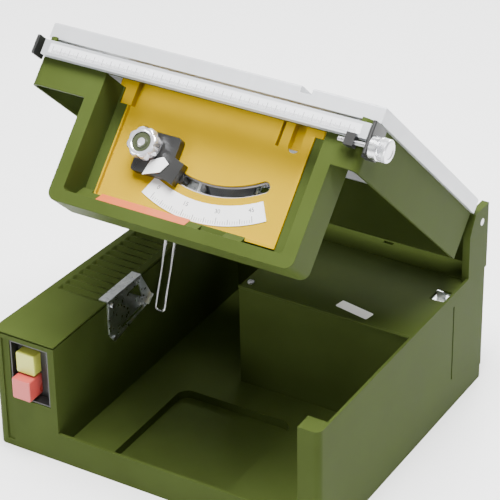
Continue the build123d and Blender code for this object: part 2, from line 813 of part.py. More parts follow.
# ================================================================================ upper housing
tub_top = -tub_mouth_top
rim_inner_left = tub_left + rim_side
rim_inner_right = tub_right - rim_side
rim_inner_low = -(tub_low - rim_low)
back_y = skirt_front + tub_depth
ledge_back_y = back_y - panel_rim - ledge_clearance
with BuildPart() as upper_housing:
    skirt_wide = skirt_right - skirt_left
    skirt_long = table_depth - skirt_front
    skirt_x = (skirt_right + skirt_left) / 2
    skirt_y = (table_depth + skirt_front) / 2
    with BuildSketch(flat(table, skirt_x, skirt_y, -skirt_depth)):
        Rectangle(skirt_wide, skirt_long)
        fillet(vertices().group_by(Axis.Y)[0], skirt_radius)
    extrude(amount=skirt_depth - table_edge)
    with BuildSketch(flat(table, skirt_x, skirt_y, -skirt_depth)):
        Rectangle(skirt_wide - 2 * skirt_wall, skirt_long - 2 * skirt_wall)
        fillet(vertices().group_by(Axis.Y)[0], skirt_radius - skirt_wall)
    extrude(amount=skirt_depth - table_edge, mode=Mode.SUBTRACT)
    # the hanging front: a hollow frame around a deep recess
    with BuildSketch(facing(table, 0, skirt_front, 0)):
        with BuildLine():
            Polyline(
                (tub_left, tub_top),
                (tub_left, -tub_low),
                (tub_right, -tub_low),
                (tub_right, tub_top),
                close=True,
            )
        make_face()
        fillet(vertices().group_by(Axis.Y)[0], tub_radius)
    extrude(amount=-tub_depth)
    with BuildSketch(facing(table, 0, skirt_front, 0)):
        with BuildLine():
            Polyline(
                (rim_inner_left, tub_top),
                (rim_inner_left, rim_inner_low),
                (rim_inner_right, rim_inner_low),
                (rim_inner_right, tub_top),
                close=True,
            )
        make_face()
        fillet(vertices().group_by(Axis.Y)[0], rim_corner)
    extrude(amount=-(tub_depth - back_wall), mode=Mode.SUBTRACT)
    # the front wall stops short of the table, behind the rail's upper edge
    with BuildSketch(flat(table, skirt_x, skirt_front + skirt_wall / 2, -front_gap_low)):
        Rectangle(skirt_wide - 2 * skirt_radius, 3 * skirt_wall)
    extrude(amount=front_gap_low - table_edge, mode=Mode.SUBTRACT)
    # a ledge slopes down and forward below the tilt panel, with a slot for the fingers
    with BuildSketch(sideways(table, rim_inner_left, 0, 0)):
        with BuildLine():
            Polyline(
                (ledge_back_y, -ledge_start),
                (ledge_front_y, rim_inner_low),
                (ledge_back_y, rim_inner_low),
                close=True,
            )
        make_face()
    extrude(amount=ledge_right - rim_inner_left)
    with BuildSketch(flat(table, ledge_slot_x, (ledge_front_y + ledge_back_y) / 2, rim_inner_low)):
        Rectangle(ledge_slot_length, ledge_slot_width)
    extrude(amount=tub_low, mode=Mode.SUBTRACT)
    # lighten the frame from behind
    for low, high, down, up in (
        (tub_left, rim_inner_left, -tub_low, tub_top),
        (rim_inner_right, tub_right, -tub_low, tub_top),
        (rim_inner_left - wall, rim_inner_right + wall, -tub_low, rim_inner_low),
    ):
        with BuildSketch(facing(table, (low + high) / 2, skirt_front + wall, (down + up) / 2)):
            Rectangle(high - low - 2 * wall, up - down - 2 * wall)
        extrude(amount=-(tub_depth - 2 * wall), mode=Mode.SUBTRACT)
    # the opening in the recess's back wall, which the tilt panel fills
    with BuildSketch(facing(table, 0, back_y, 0)):
        with BuildLine():
            Polyline(
                (tab_left + 2, tub_top + 1),
                (tab_left + 2, -tab_low),
                (panel_left, -tab_low),
                (panel_left, -panel_low),
                (panel_right, -panel_low),
                (panel_right, tub_top + 1),
                close=True,
            )
        make_face()
    extrude(amount=3 * back_wall, mode=Mode.SUBTRACT)
    # hinge ears behind the rear wall
    for ear_x in (right_ear_x, left_ear_x):
        with BuildSketch(sideways(hinge, ear_x, 0, 0)):
            Circle(ear_radius)
            with BuildLine():
                Polyline(
                    (0, ear_radius),
                    (table_depth - hinge_back, hinge_drop - table_edge),
                    (table_depth - hinge_back, -ear_drop),
                    (-ear_radius * 0.5, -ear_radius * 0.86),
                    close=True,
                )
            make_face()
            Circle(pin_radius + pin_clearance, mode=Mode.SUBTRACT)
        extrude(amount=ear_width)
finish(upper_housing, "upper_housing")

# ================================================================================== tilt panel
panel_y = back_y
with BuildPart() as tilt_panel:
    # the plate lies behind the housing's back wall
    with BuildSketch(facing(table, 0, panel_y, 0)):
        with BuildLine():
            Polyline(
                (tab_left - panel_flange, -panel_high),
                (tab_left - panel_flange, -tab_low - panel_flange),
                (panel_left - panel_flange, -tab_low - panel_flange),
                (panel_left - panel_flange, -panel_low - panel_flange),
                (panel_right + panel_flange, -panel_low - panel_flange),
                (panel_right + panel_flange, -panel_high),
                close=True,
            )
        make_face()
        add(arc_slot(slot_radius, slot_width, slot_start, slot_end), mode=Mode.SUBTRACT)
    extrude(amount=-panel_thickness)
    # three pockets open at the top: a round-ended notch, a slit and a broad one at the left
    with BuildSketch(facing(table, 0, panel_y + panel_thickness, 0)):
        for pocket_x, pocket_width, pocket_low in panel_pockets:
            with Locations((pocket_x, -(panel_high + pocket_low) / 2)):
                Rectangle(pocket_width + 2 * pocket_wall, pocket_low - panel_high + 2 * pocket_wall)
    extrude(amount=-pocket_behind)
    with BuildSketch(facing(table, 0, panel_y, 0)):
        for pocket_x, pocket_width, pocket_low in panel_pockets:
            with Locations((pocket_x, -(panel_high + pocket_low) / 2)):
                Rectangle(pocket_width, pocket_low - panel_high)
        with Locations((panel_pockets[0][0], -panel_pockets[0][2])):
            Circle(panel_pockets[0][1] / 2)
    extrude(amount=-(panel_thickness + pocket_behind - pocket_wall), mode=Mode.SUBTRACT)
    # a bevelled rim rises inside the opening
    with BuildSketch(facing(table, 0, panel_y, 0)):
        with BuildLine():
            Polyline(
                (panel_left + press_gap, tub_top),
                (panel_left + press_gap, -panel_low + press_gap),
                (panel_right - press_gap, -panel_low + press_gap),
                (panel_right - press_gap, tub_top),
                close=True,
            )
        make_face()
        with BuildLine():
            Polyline(
                (panel_left - 1, tub_top + 1),
                (panel_left - 1, -tab_low),
                (panel_left + 2, -tab_low),
                (panel_left + 2, -panel_low + panel_lip),
                (panel_right - panel_lip, -panel_low + panel_lip),
                (panel_right - panel_lip, tub_top + 1),
                close=True,
            )
        make_face(mode=Mode.SUBTRACT)
    extrude(amount=panel_rim)
finish(tilt_panel, "tilt_panel")


track_width = 9.0
track_half = 10.5
track_beyond = 4.5
track_plate = 1.6
scale_plate = 0.8
with BuildPart() as arc_track:
    with BuildSketch(facing(table, 0, panel_y + panel_thickness, 0)):
        add(
            sector(
                slot_radius - track_half,
                slot_radius + track_half,
                slot_start - track_beyond,
                slot_end + track_beyond,
            )
        )
        add(arc_slot(slot_radius, track_width, slot_start, slot_end), mode=Mode.SUBTRACT)
    extrude(amount=-track_plate)
finish(arc_track, "arc_track")

with BuildPart() as arc_scale:
    with BuildSketch(facing(table, 0, panel_y, 0)):
        add(sector(scale_inner, scale_outer, scale_start, scale_end))
    extrude(amount=scale_plate)
finish(arc_scale, "arc_scale")

# a blank strip on the sloping ledge
ledge_run = ledge_back_y - ledge_front_y
ledge_fall = -(ledge_start + rim_inner_low)
label_plane = Plane(
    origin=table.from_local_coords((label_x, ledge_front_y + ledge_run / 2, rim_inner_low + ledge_fall / 2)),
    x_dir=table.x_dir,
    z_dir=table.from_local_coords((0, -ledge_fall, ledge_run)) - table.origin,
)
with BuildPart() as lip_label:
    with BuildSketch(label_plane):
        Rectangle(label_length, label_width)
    extrude(amount=card)
finish(lip_label, "lip_label")

# =========================================================================== rail and adjustment
lug_width = 10.0
lug_half = 5.0
rail_middle_y = skirt_front - rail_thickness / 2
t_mouth_width = 3.2
t_mouth_depth = 4.0
t_width = 6.0
t_depth = 2.4
lug_left = skirt_right - rail_travel - 2 - lug_width
with BuildPart() as guide_rail:
    with BuildSketch(sideways(table, rail_left, 0, 0)):
        with BuildLine():
            Polyline(
                (skirt_front - apart, -rail_top),
                (skirt_front - rail_thickness, -rail_top),
                (skirt_front - rail_thickness, -rail_top - rail_height),
                (skirt_front - apart, -rail_top - rail_height),
                close=True,
            )
        make_face()
        # a T slot on the underside guides the stop
        with Locations((rail_middle_y, -rail_top - rail_height + t_mouth_depth / 2)):
            Rectangle(t_mouth_width, t_mouth_depth, mode=Mode.SUBTRACT)
        with Locations((rail_middle_y, -rail_top - rail_height + t_mouth_depth + 1)):
            Rectangle(t_width, t_depth, mode=Mode.SUBTRACT)
    extrude(amount=rail_right - rail_left)
    with BuildSketch(sideways(table, lug_left, 0, 0)):
        with BuildLine():
            Polyline(
                (-drum_forward + lug_half, -rail_top - rail_height + 2),
                (-drum_forward - lug_half, -rail_top - rail_height + 2),
                (-drum_forward - lug_half, -drum_down - lug_half),
                (-drum_forward + lug_half, -drum_down - lug_half),
                close=True,
            )
        make_face()
        with Locations((-drum_forward, -drum_down)):
            Circle(spindle_radius + running, mode=Mode.SUBTRACT)
    extrude(amount=lug_width)
finish(guide_rail, "guide_rail")

with BuildPart() as rail_scale:
    with BuildSketch(facing(table, 0, skirt_front - rail_thickness, 0)):
        with Locations(((rail_left + rail_right) / 2, -rail_top - rail_height / 2)):
            Rectangle(rail_right - rail_left - 2 * scale_margin, rail_height - 2 * scale_border)
    extrude(amount=card)
finish(rail_scale, "rail_scale")

bracket_x = skirt_right
bracket_width = 11.5
bracket_top = 21.5
bracket_lip = 7.0
bracket_corner = 3.0
with BuildPart() as rail_bracket:
    with BuildSketch(sideways(table, bracket_x, 0, 0)):
        with BuildLine():
            Polyline(
                (-drum_forward - bracket_lip, -bracket_top),
                (skirt_front + 12, -bracket_top),
                (skirt_front + 12, -drum_down - 9),
                (-drum_forward - bracket_lip, -drum_down - 9),
                close=True,
            )
        make_face()
        fillet(vertices(), bracket_corner)
    extrude(amount=bracket_width)
    # the rail's end slides in a pocket
    with BuildSketch(sideways(table, bracket_x, rail_middle_y, -rail_top - rail_height / 2)):
        Rectangle(rail_thickness + 2 * apart, rail_height + 2 * apart)
    extrude(amount=rail_right - bracket_x + rail_travel + 1, mode=Mode.SUBTRACT)
    with BuildSketch(sideways(table, bracket_x, -drum_forward, -drum_down)):
        Circle(spindle_radius + running)
    extrude(amount=bracket_width, mode=Mode.SUBTRACT)
finish(rail_bracket, "rail_bracket")

end_block_width = 3.0
with BuildPart() as rail_end_block:
    with BuildSketch(sideways(table, skirt_left, 0, 0)):
        with Locations((rail_middle_y + 2, -rail_top - rail_height / 2)):
            Rectangle(rail_thickness + 10, rail_height + 5)
            fillet(vertices(), 2)
    extrude(amount=-end_block_width)
finish(rail_end_block, "rail_end_block")

drum_chamfer = 0.8
knurl_count = 36
knurl_radius = 0.6
with BuildPart() as adjust_drum:
    with BuildSketch(sideways(table, drum_left, -drum_forward, -drum_down)):
        Circle(drum_radius)
    extrude(amount=drum_length)
    chamfer(adjust_drum.edges().filter_by(GeomType.CIRCLE), drum_chamfer)
    # a fine knurl on the outer half
    with BuildSketch(sideways(table, drum_left + drum_length / 2, -drum_forward, -drum_down)):
        with PolarLocations(drum_radius + knurl_radius / 2, knurl_count):
            Circle(knurl_radius)
    extrude(amount=drum_length / 2, mode=Mode.SUBTRACT)
finish(adjust_drum, "adjust_drum")

spindle_tail = 8.0
with BuildPart() as adjust_spindle:
    with BuildSketch(sideways(table, lug_left - spindle_tail, -drum_forward, -drum_down)):
        Circle(spindle_radius)
    extrude(amount=drum_left - lug_left + spindle_tail)
finish(adjust_spindle, "adjust_spindle")

# ================================================================================= swing frame
shoe_span = 38.7
shoe_angle = knob_angle + degrees(shoe_span / slot_radius)
shoe_half = 3.5
knob_x, knob_z = on_arc(slot_radius, knob_angle)
front_plate_y = frame_front_y
rear_plate_y = frame_rear_y - frame_plate
frame_low = 124.0
frame_bar = 6.0
frame_middle_y = (frame_front_y + frame_rear_y) / 2
frame_right = rod_x + 9.0
frame_left = rod_x - 14.0
shaft_radius = 4.0
ledge_top = 18.0
ledge_height = 6.0
ledge_width = 13.0
rear_arc_radius = 78.0
rear_arc_angles = (-34.0, -12.0)
rear_pin_radius = 3.0
rear_pin_length = 6.0


def frame_plate_face():
    """The outline shared by the two end plates, from under the table to the bottom bar."""
    with BuildSketch(Plane.XY, mode=Mode.PRIVATE) as outline:
        with BuildLine():
            Polyline(
                (frame_right, -ledge_top),
                (frame_left, -ledge_top),
                (knob_x - 12, knob_z + 12),
                (knob_x - 10, knob_z - 12),
                (frame_left, -frame_low),
                (frame_right, -frame_low),
                close=True,
            )
        make_face()
        add(arc_slot(slot_radius, 14, shoe_angle - shoe_half, shoe_angle + shoe_half))
    return outline.sketch


with BuildPart() as swing_frame:
    with BuildSketch(facing(table, 0, front_plate_y, 0)):
        add(frame_plate_face())
        with Locations((knob_x, knob_z)):
            Circle(shaft_radius + running, mode=Mode.SUBTRACT)
    extrude(amount=-frame_plate)
    with BuildSketch(facing(table, 0, rear_plate_y, 0)):
        with BuildLine():
            Polyline(
                (frame_right, -ledge_top),
                (rod_x - 20, -ledge_top),
                (rod_x - 30, -88),
                (frame_left, -frame_low),
                (frame_right, -frame_low),
                close=True,
            )
        make_face()
    extrude(amount=-frame_plate)
    # bottom bar and the two upper ledges that hold the guide rods
    with BuildSketch(flat(table, rod_x, frame_middle_y, -frame_low)):
        Rectangle(2 * (frame_right - rod_x), frame_rear_y - frame_front_y)
        with Locations((0, rod_front_y - frame_middle_y), (0, rod_rear_y - frame_middle_y)):
            Circle(rod_radius, mode=Mode.SUBTRACT)
    extrude(amount=frame_bar)
    for ledge_low_y, ledge_high_y in (
        (frame_front_y, rod_front_y + boss_radius),
        (rod_rear_y - boss_radius, frame_rear_y),
    ):
        ledge_middle_y = (ledge_low_y + ledge_high_y) / 2
        with BuildSketch(flat(table, rod_x - 2.5, ledge_middle_y, -ledge_top - ledge_height)):
            Rectangle(ledge_width, ledge_high_y - ledge_low_y)
        extrude(amount=ledge_height)
        rod_y = rod_front_y if ledge_low_y == frame_front_y else rod_rear_y
        with BuildSketch(flat(table, rod_x, rod_y, -ledge_top - ledge_height)):
            Circle(rod_radius)
        extrude(amount=ledge_height, mode=Mode.SUBTRACT)
    # pins that ride in the rear arc bracket
    for pin_angle in rear_arc_angles:
        pin_x, pin_z = on_arc(rear_arc_radius, pin_angle)
        with BuildSketch(facing(table, pin_x, frame_rear_y, pin_z)):
            Circle(rear_pin_radius)
        extrude(amount=-rear_pin_length)
finish(swing_frame, "swing_frame")

with BuildPart() as guide_rods:
    for rod_y in (rod_front_y, rod_rear_y):
        with BuildSketch(flat(table, rod_x, rod_y, -frame_low)):
            Circle(rod_radius)
        extrude(amount=frame_low - ledge_top)
finish(guide_rods, "guide_rods")

rear_arc_plate = 3.0
rear_arc_band = 14.0
arc_clearance = 0.08
rear_slot_start = -36.0
rear_slot_end = 36.0
rear_struts = (-46.0, 66.0)
rear_strut_width = 12.0
rear_strut_down = 70.0
rear_foot_length = 16.0
with BuildPart() as rear_arc_bracket:
    with BuildSketch(facing(table, 0, frame_rear_y + apart, 0)):
        add(arc_slot(rear_arc_radius, 2 * rear_pin_radius + rear_arc_band, rear_slot_start, rear_slot_end))
        for strut_x in rear_struts:
            with Locations((strut_x, -(table_skin + rear_strut_down) / 2)):
                Rectangle(rear_strut_width, rear_strut_down - table_skin)
        add(
            arc_slot(rear_arc_radius, 2 * (rear_pin_radius + arc_clearance), rear_slot_start, rear_slot_end),
            mode=Mode.SUBTRACT,
        )
    extrude(amount=-rear_arc_plate)
    # feet of the struts, screwed to the table's underside
    rear_foot_y = frame_rear_y + apart + rear_foot_length / 2
    with BuildSketch(flat(table, 0, rear_foot_y, -table_skin - rear_arc_plate)):
        for strut_x in rear_struts:
            with Locations((strut_x, 0)):
                Rectangle(rear_strut_width, rear_foot_length)
    extrude(amount=rear_arc_plate)
finish(rear_arc_bracket, "rear_arc_bracket")

# the black arm in front of the panel, with the shoe that fills the slot
arm_back_y = panel_y - apart - 0.8
arm_front_y = 22.0
shoe_reach = frame_front_y
block_width = 44.0
block_height = 44.0
block_right = 11.0
block_down = 5.0
block_corner = 4.0
with BuildPart() as knob_arm:
    with BuildSketch(facing(table, 0, arm_back_y, 0)):
        add(sector(slot_radius - 13, slot_radius + 11, knob_angle, shoe_angle + 4))
        with Locations((knob_x + block_right, knob_z - block_down)):
            RectangleRounded(block_width, block_height, block_corner)
    extrude(amount=arm_back_y - arm_front_y)
    with BuildSketch(facing(table, 0, arm_back_y, 0)):
        add(arc_slot(slot_radius, track_width - 2 * apart, shoe_angle - shoe_half, shoe_angle + shoe_half))
        with Locations((knob_x, knob_z)):
            Circle(track_width / 2 + 0.2 - apart)
    extrude(amount=-(shoe_reach - arm_back_y))
    with BuildSketch(facing(table, knob_x, shoe_reach, knob_z)):
        Circle(shaft_radius - 1.0 + running)
    extrude(amount=shoe_reach - arm_front_y, mode=Mode.SUBTRACT)
finish(knob_arm, "knob_arm")

pointer_plate = 1.5
with BuildPart() as tilt_pointer:
    with BuildSketch(facing(table, 0, arm_front_y, 0)):
        heel = knob_angle + degrees((knob_radius + 3) / slot_radius)
        with BuildLine():
            Polyline(
                on_arc(scale_inner + 8, heel - 1),
                on_arc(slot_radius + 6, heel - 3),
                on_arc(slot_radius - 6, heel + 1),
                on_arc(slot_radius - 4, heel + 6),
                on_arc(slot_radius + 8, heel + 5),
                close=True,
            )
        make_face()
    extrude(amount=pointer_plate)
finish(tilt_pointer, "tilt_pointer")

# ================================================================================= height knob
pitch_radius = module * pinion_teeth / 2
stem_radius = shaft_radius - 1.0
knob_neck = 4.0
knob_flutes = 8
flute_radius = 3.6
knob_chamfer = 1.2
cap_inset = 7.0
cap_depth = 2.0
stem_cover = 4.0
with BuildPart() as height_knob:
    with BuildSketch(facing(table, knob_x, arm_front_y - apart, knob_z)):
        Circle(knob_radius - 2.5)
    extrude(amount=knob_neck)
    with BuildSketch(facing(table, knob_x, arm_front_y - apart - knob_neck, knob_z)):
        Circle(knob_radius)
        with PolarLocations(knob_radius + 1.6, knob_flutes):
            Circle(flute_radius, mode=Mode.SUBTRACT)
    extrude(amount=arm_front_y - apart - knob_neck - knob_face_y)
    chamfer(height_knob.faces().sort_by(Axis(table.origin, table.y_dir))[0].edges(), knob_chamfer)
    with BuildSketch(facing(table, knob_x, knob_face_y, knob_z)):
        Circle(knob_radius - cap_inset)
    extrude(amount=-cap_depth, mode=Mode.SUBTRACT)
    with BuildSketch(facing(table, knob_x, arm_front_y, knob_z)):
        Circle(stem_radius)
    extrude(amount=arm_front_y - knob_face_y - stem_cover, mode=Mode.SUBTRACT)
finish(height_knob, "height_knob")

pinion_y = frame_front_y + frame_plate + 2
pinion_width = 7.0
pressure_angle = radians(20)
base_circle = pitch_radius * cos(pressure_angle)
backlash = 0.30


def involute(angle):
    return tan(angle) - angle


def tooth_half_angle(radius):
    """Half the angle that a tooth fills at a radius, thinned by the backlash."""
    flank = acos(min(1.0, base_circle / max(radius, base_circle)))
    half_thickness = (pi * module / 2 - backlash) / 2
    return half_thickness / pitch_radius + involute(pressure_angle) - involute(flank)


with BuildPart() as pinion_shaft:
    with BuildSketch(facing(table, knob_x, knob_face_y + stem_cover, knob_z)):
        Circle(stem_radius)
    extrude(amount=-(shoe_reach - knob_face_y - stem_cover))
    with BuildSketch(facing(table, knob_x, shoe_reach, knob_z)):
        Circle(shaft_radius)
    extrude(amount=-(pinion_y + pinion_width + 2 - shoe_reach))
    root_radius = pitch_radius - 1.15 * module
    tip_radius = pitch_radius + 0.8 * module
    with BuildSketch(facing(table, knob_x, pinion_y, knob_z)):
        Circle(root_radius)
        for number in range(pinion_teeth):
            middle = 2 * pi * number / pinion_teeth
            flank = []
            for side_sign in (-1, 1):
                radii = (root_radius - 0.2, base_circle, pitch_radius, tip_radius)
                turns = [middle + side_sign * tooth_half_angle(r) for r in radii]
                points = [(r * cos(turn), r * sin(turn)) for r, turn in zip(radii, turns)]
                flank += points if side_sign < 0 else points[::-1]
            with BuildLine():
                Polyline(*flank, close=True)
            make_face()
    extrude(amount=-pinion_width)
finish(pinion_shaft, "pinion_shaft")

# =========================================================================== height carriage
motor_z = -motor_down
arbor_z = -blade_down
bearing_left = -28.0
rack_pitch_x = knob_x + pitch_radius
rack_back = rack_pitch_x + 5.0
rack_up = 12.0
rack_down = 36.0
boss_front_low = 104.0
boss_rear_low = 100.0
boss_height = 40.0
carriage_shoulder = 62.0
carriage_keel = 28.0
shaft_window = 9.0
bearing_wall = 3.0
rack_arm_height = 12.0
with BuildPart() as motor_carriage:
    with BuildSketch(sideways(table, carriage_left, 0, 0)):
        with BuildLine():
            Polyline(
                (rod_front_y - 5, -carriage_shoulder),
                (blade_y - 12, arbor_z + 10),
                (blade_y + 8, arbor_z + 10),
                (rod_rear_y + 5, -carriage_shoulder),
                (rod_rear_y + 5, -boss_rear_low),
                (motor_y + 20, motor_z - carriage_keel),
                (motor_y - 24, motor_z - carriage_keel),
                (rod_front_y - 5, -boss_front_low),
                close=True,
            )
        make_face()
        with Locations((motor_y, motor_z)):
            Circle(shaft_window, mode=Mode.SUBTRACT)
    extrude(amount=carriage_right - carriage_left)
    # housing of the arbor bearings
    with BuildSketch(sideways(table, bearing_left, blade_y, arbor_z)):
        Circle(bearing_outer + bearing_wall)
    extrude(amount=carriage_right - bearing_left)
    with BuildSketch(sideways(table, bearing_left, blade_y, arbor_z)):
        Circle(bearing_outer)
    extrude(amount=carriage_right - bearing_left, mode=Mode.SUBTRACT)
    # guide bosses
    for boss_y, boss_low in ((rod_front_y, -boss_front_low), (rod_rear_y, -boss_rear_low)):
        with BuildSketch(flat(table, rod_x, boss_y, boss_low)):
            Circle(boss_radius)
            with Locations((boss_radius / 2, 0)):
                Rectangle(boss_radius, boss_radius * 1.4)
        extrude(amount=boss_height)
        with BuildSketch(flat(table, rod_x, boss_y, boss_low)):
            Circle(rod_radius + running)
        extrude(amount=boss_height, mode=Mode.SUBTRACT)
    # arm that carries the rack
    with BuildSketch(facing(table, 0, pinion_y, 0)):
        with Locations(((rack_back + rod_x) / 2, knob_z + rack_up - (rack_down + rack_arm_height) / 2)):
            Rectangle(rod_x - rack_back, rack_arm_height)
    extrude(amount=-pinion_width)
finish(motor_carriage, "motor_carriage")

rack_half = (pi * module / 2 - backlash) / 2
rack_slope = tan(pressure_angle)
with BuildPart() as height_rack:
    with BuildSketch(facing(table, 0, pinion_y, 0)):
        with BuildLine():
            Polyline(
                (rack_pitch_x + 1.2 * module, knob_z + rack_up),
                (rack_back, knob_z + rack_up),
                (rack_back, knob_z - rack_down),
                (rack_pitch_x + 1.2 * module, knob_z - rack_down),
                close=True,
            )
        make_face()
        pitch = pi * module
        tooth_count = int((rack_up + rack_down - 2) / pitch)
        for number in range(tooth_count):
            tooth_z = knob_z - rack_down + 1.5 + pitch / 2 + number * pitch
            # the gaps line up with the pinion's first tooth
            tooth_z = knob_z + pitch / 2 + round((tooth_z - knob_z - pitch / 2) / pitch) * pitch
            root = rack_half + 1.2 * module * rack_slope
            tip_half = rack_half - 0.8 * module * rack_slope
            with BuildLine():
                Polyline(
                    (rack_pitch_x + 1.3 * module, tooth_z + root),
                    (rack_pitch_x - 0.8 * module, tooth_z + tip_half),
                    (rack_pitch_x - 0.8 * module, tooth_z - tip_half),
                    (rack_pitch_x + 1.3 * module, tooth_z - root),
                    close=True,
                )
            make_face()
    extrude(amount=-pinion_width)
finish(height_rack, "height_rack")

# ======================================================================================= motor
motor_left = carriage_left - motor_length
motor_corner = 4.0
vent_circle = 16.0
vent_radius = 3.0
motor_vents = 8
with BuildPart() as motor_housing:
    with BuildSketch(sideways(table, motor_left, motor_y, motor_z)):
        Circle(motor_radius)
    extrude(amount=motor_length)
    fillet(motor_housing.faces().sort_by(Axis.X)[0].edges(), motor_corner)
    with BuildSketch(sideways(table, motor_left + motor_shell, motor_y, motor_z)):
        Circle(motor_radius - motor_shell)
    extrude(amount=motor_length - motor_shell, mode=Mode.SUBTRACT)
    with BuildSketch(sideways(table, motor_left, motor_y, motor_z)):
        Circle(shaft_window - 5)
        with PolarLocations(vent_circle, motor_vents):
            Circle(vent_radius)
    extrude(amount=motor_shell, mode=Mode.SUBTRACT)
finish(motor_housing, "motor_housing")

stator_left = motor_left + 26
stator_length = 44.0
with BuildPart() as motor_stator:
    with BuildSketch(sideways(table, stator_left, motor_y, motor_z)):
        Circle(motor_radius - motor_shell)
        Circle(stator_inner, mode=Mode.SUBTRACT)
    extrude(amount=stator_length)
finish(motor_stator, "motor_stator")

flange_plate = 6.0
motor_bearing_radius = 8.0
with BuildPart() as motor_flange:
    with BuildSketch(sideways(table, carriage_left - flange_plate, motor_y, motor_z)):
        Circle(motor_radius - motor_shell)
        Circle(motor_bearing_radius, mode=Mode.SUBTRACT)
    extrude(amount=flange_plate)
finish(motor_flange, "motor_flange")

motor_shaft_radius = 3.0
with BuildPart() as motor_bearings:
    for bearing_x in (motor_left + motor_shell, carriage_left - flange_plate):
        with BuildSketch(sideways(table, bearing_x, motor_y, motor_z)):
            Circle(motor_bearing_radius)
            Circle(motor_shaft_radius + running, mode=Mode.SUBTRACT)
        extrude(amount=bearing_width)
finish(motor_bearings, "motor_bearings")

motor_shaft_end = 11.0
commutator_radius = 9.0
commutator_length = 11.0
with BuildPart() as armature:
    with BuildSketch(sideways(table, motor_left + 0.4, motor_y, motor_z)):
        Circle(motor_shaft_radius)
    extrude(amount=motor_shaft_end + 0.4 - motor_left)
    with BuildSketch(sideways(table, stator_left, motor_y, motor_z)):
        Circle(armature_radius)
    extrude(amount=stator_length)
    with BuildSketch(sideways(table, stator_left - 14, motor_y, motor_z)):
        Circle(commutator_radius)
    extrude(amount=commutator_length)
finish(armature, "armature")

brush_height = 6.0
brush_gap = 9.5
with BuildPart() as motor_brushes:
    for brush_z in (motor_z + brush_gap, motor_z - brush_gap - brush_height):
        with BuildSketch(flat(table, stator_left - 9, motor_y, brush_z)):
            Rectangle(6, 5)
        extrude(amount=brush_height)
finish(motor_brushes, "motor_brushes")

belt_left = 2.0
belt_width = 8.0
belt_thickness = 1.4


def make_pulley(name, centre_y, centre_z, radius, bore):
    """A flat belt pulley with a low rim on each side."""
    with BuildPart() as pulley:
        with BuildSketch(sideways(table, belt_left, centre_y, centre_z)):
            Circle(radius)
            Circle(bore, mode=Mode.SUBTRACT)
        extrude(amount=belt_width)
    finish(pulley, name)


make_pulley("motor_pulley", motor_y, motor_z, motor_pulley_radius, motor_shaft_radius)
make_pulley("arbor_pulley", blade_y, arbor_z, arbor_pulley_radius, arbor_radius)


def belt_face(grow):
    """The stretched loop about both pulleys, grown outwards."""
    motor_centre = Vector(motor_y, motor_z)
    arbor_centre = Vector(blade_y, arbor_z)
    with BuildSketch(Plane.XY, mode=Mode.PRIVATE) as loop:
        with Locations(motor_centre):
            Circle(motor_pulley_radius + grow)
        with Locations(arbor_centre):
            Circle(arbor_pulley_radius + grow)
        make_hull()
    return loop.sketch


with BuildPart() as drive_belt:
    with BuildSketch(sideways(table, belt_left + 0.5, 0, 0)):
        add(belt_face(apart + belt_thickness))
        add(belt_face(apart), mode=Mode.SUBTRACT)
    extrude(amount=belt_width - 1)
finish(drive_belt, "drive_belt")

# ======================================================================================= arbor
blade_x = swing_x - blade_thickness / 2
outer_flange = 2.0
nut_radius = 5.6
nut_height = 3.4
with BuildPart() as arbor_shaft:
    with BuildSketch(sideways(table, bearing_left - 0.5, blade_y, arbor_z)):
        Circle(arbor_radius)
    extrude(amount=blade_x + blade_thickness + outer_flange + nut_height + 0.5 - (bearing_left - 0.5))
finish(arbor_shaft, "arbor_shaft")

with BuildPart() as arbor_bearings:
    for bearing_x in (bearing_left + 1, carriage_right - bearing_width - 1):
        with BuildSketch(sideways(table, bearing_x, blade_y, arbor_z)):
            Circle(bearing_outer)
            Circle(arbor_radius + running, mode=Mode.SUBTRACT)
        extrude(amount=bearing_width)
finish(arbor_bearings, "arbor_bearings")

with BuildPart() as blade_flanges:
    for flange_x, flange_width in (
        (belt_left + belt_width, blade_x - belt_left - belt_width),
        (blade_x + blade_thickness, outer_flange),
    ):
        with BuildSketch(sideways(table, flange_x, blade_y, arbor_z)):
            Circle(flange_radius)
            Circle(arbor_radius, mode=Mode.SUBTRACT)
        extrude(amount=flange_width)
finish(blade_flanges, "blade_flanges")

with BuildPart() as arbor_nut:
    with BuildSketch(sideways(table, blade_x + blade_thickness + outer_flange, blade_y, arbor_z)):
        RegularPolygon(nut_radius, 6)
        Circle(arbor_radius, mode=Mode.SUBTRACT)
    extrude(amount=nut_height)
finish(arbor_nut, "arbor_nut")

tooth_total = 36
gullet_depth = 3.4
# radius, and how far round from the gullet, of each corner of a tooth
tooth_shape = (
    (blade_radius - gullet_depth, 0.0),
    (blade_radius, 0.02),
    (blade_radius - 1.0, 0.07),
    (blade_radius - gullet_depth, 0.15),
)
with BuildPart() as saw_blade:
    with BuildSketch(sideways(table, blade_x, blade_y, arbor_z)):
        Circle(blade_radius - 3)
        for number in range(tooth_total):
            start = 2 * pi * number / tooth_total
            corners = [(radius * cos(start + lead), radius * sin(start + lead)) for radius, lead in tooth_shape]
            with BuildLine():
                Polyline(*corners, close=True)
            make_face()
        Circle(arbor_radius, mode=Mode.SUBTRACT)
    extrude(amount=blade_thickness)
finish(saw_blade, "saw_blade")

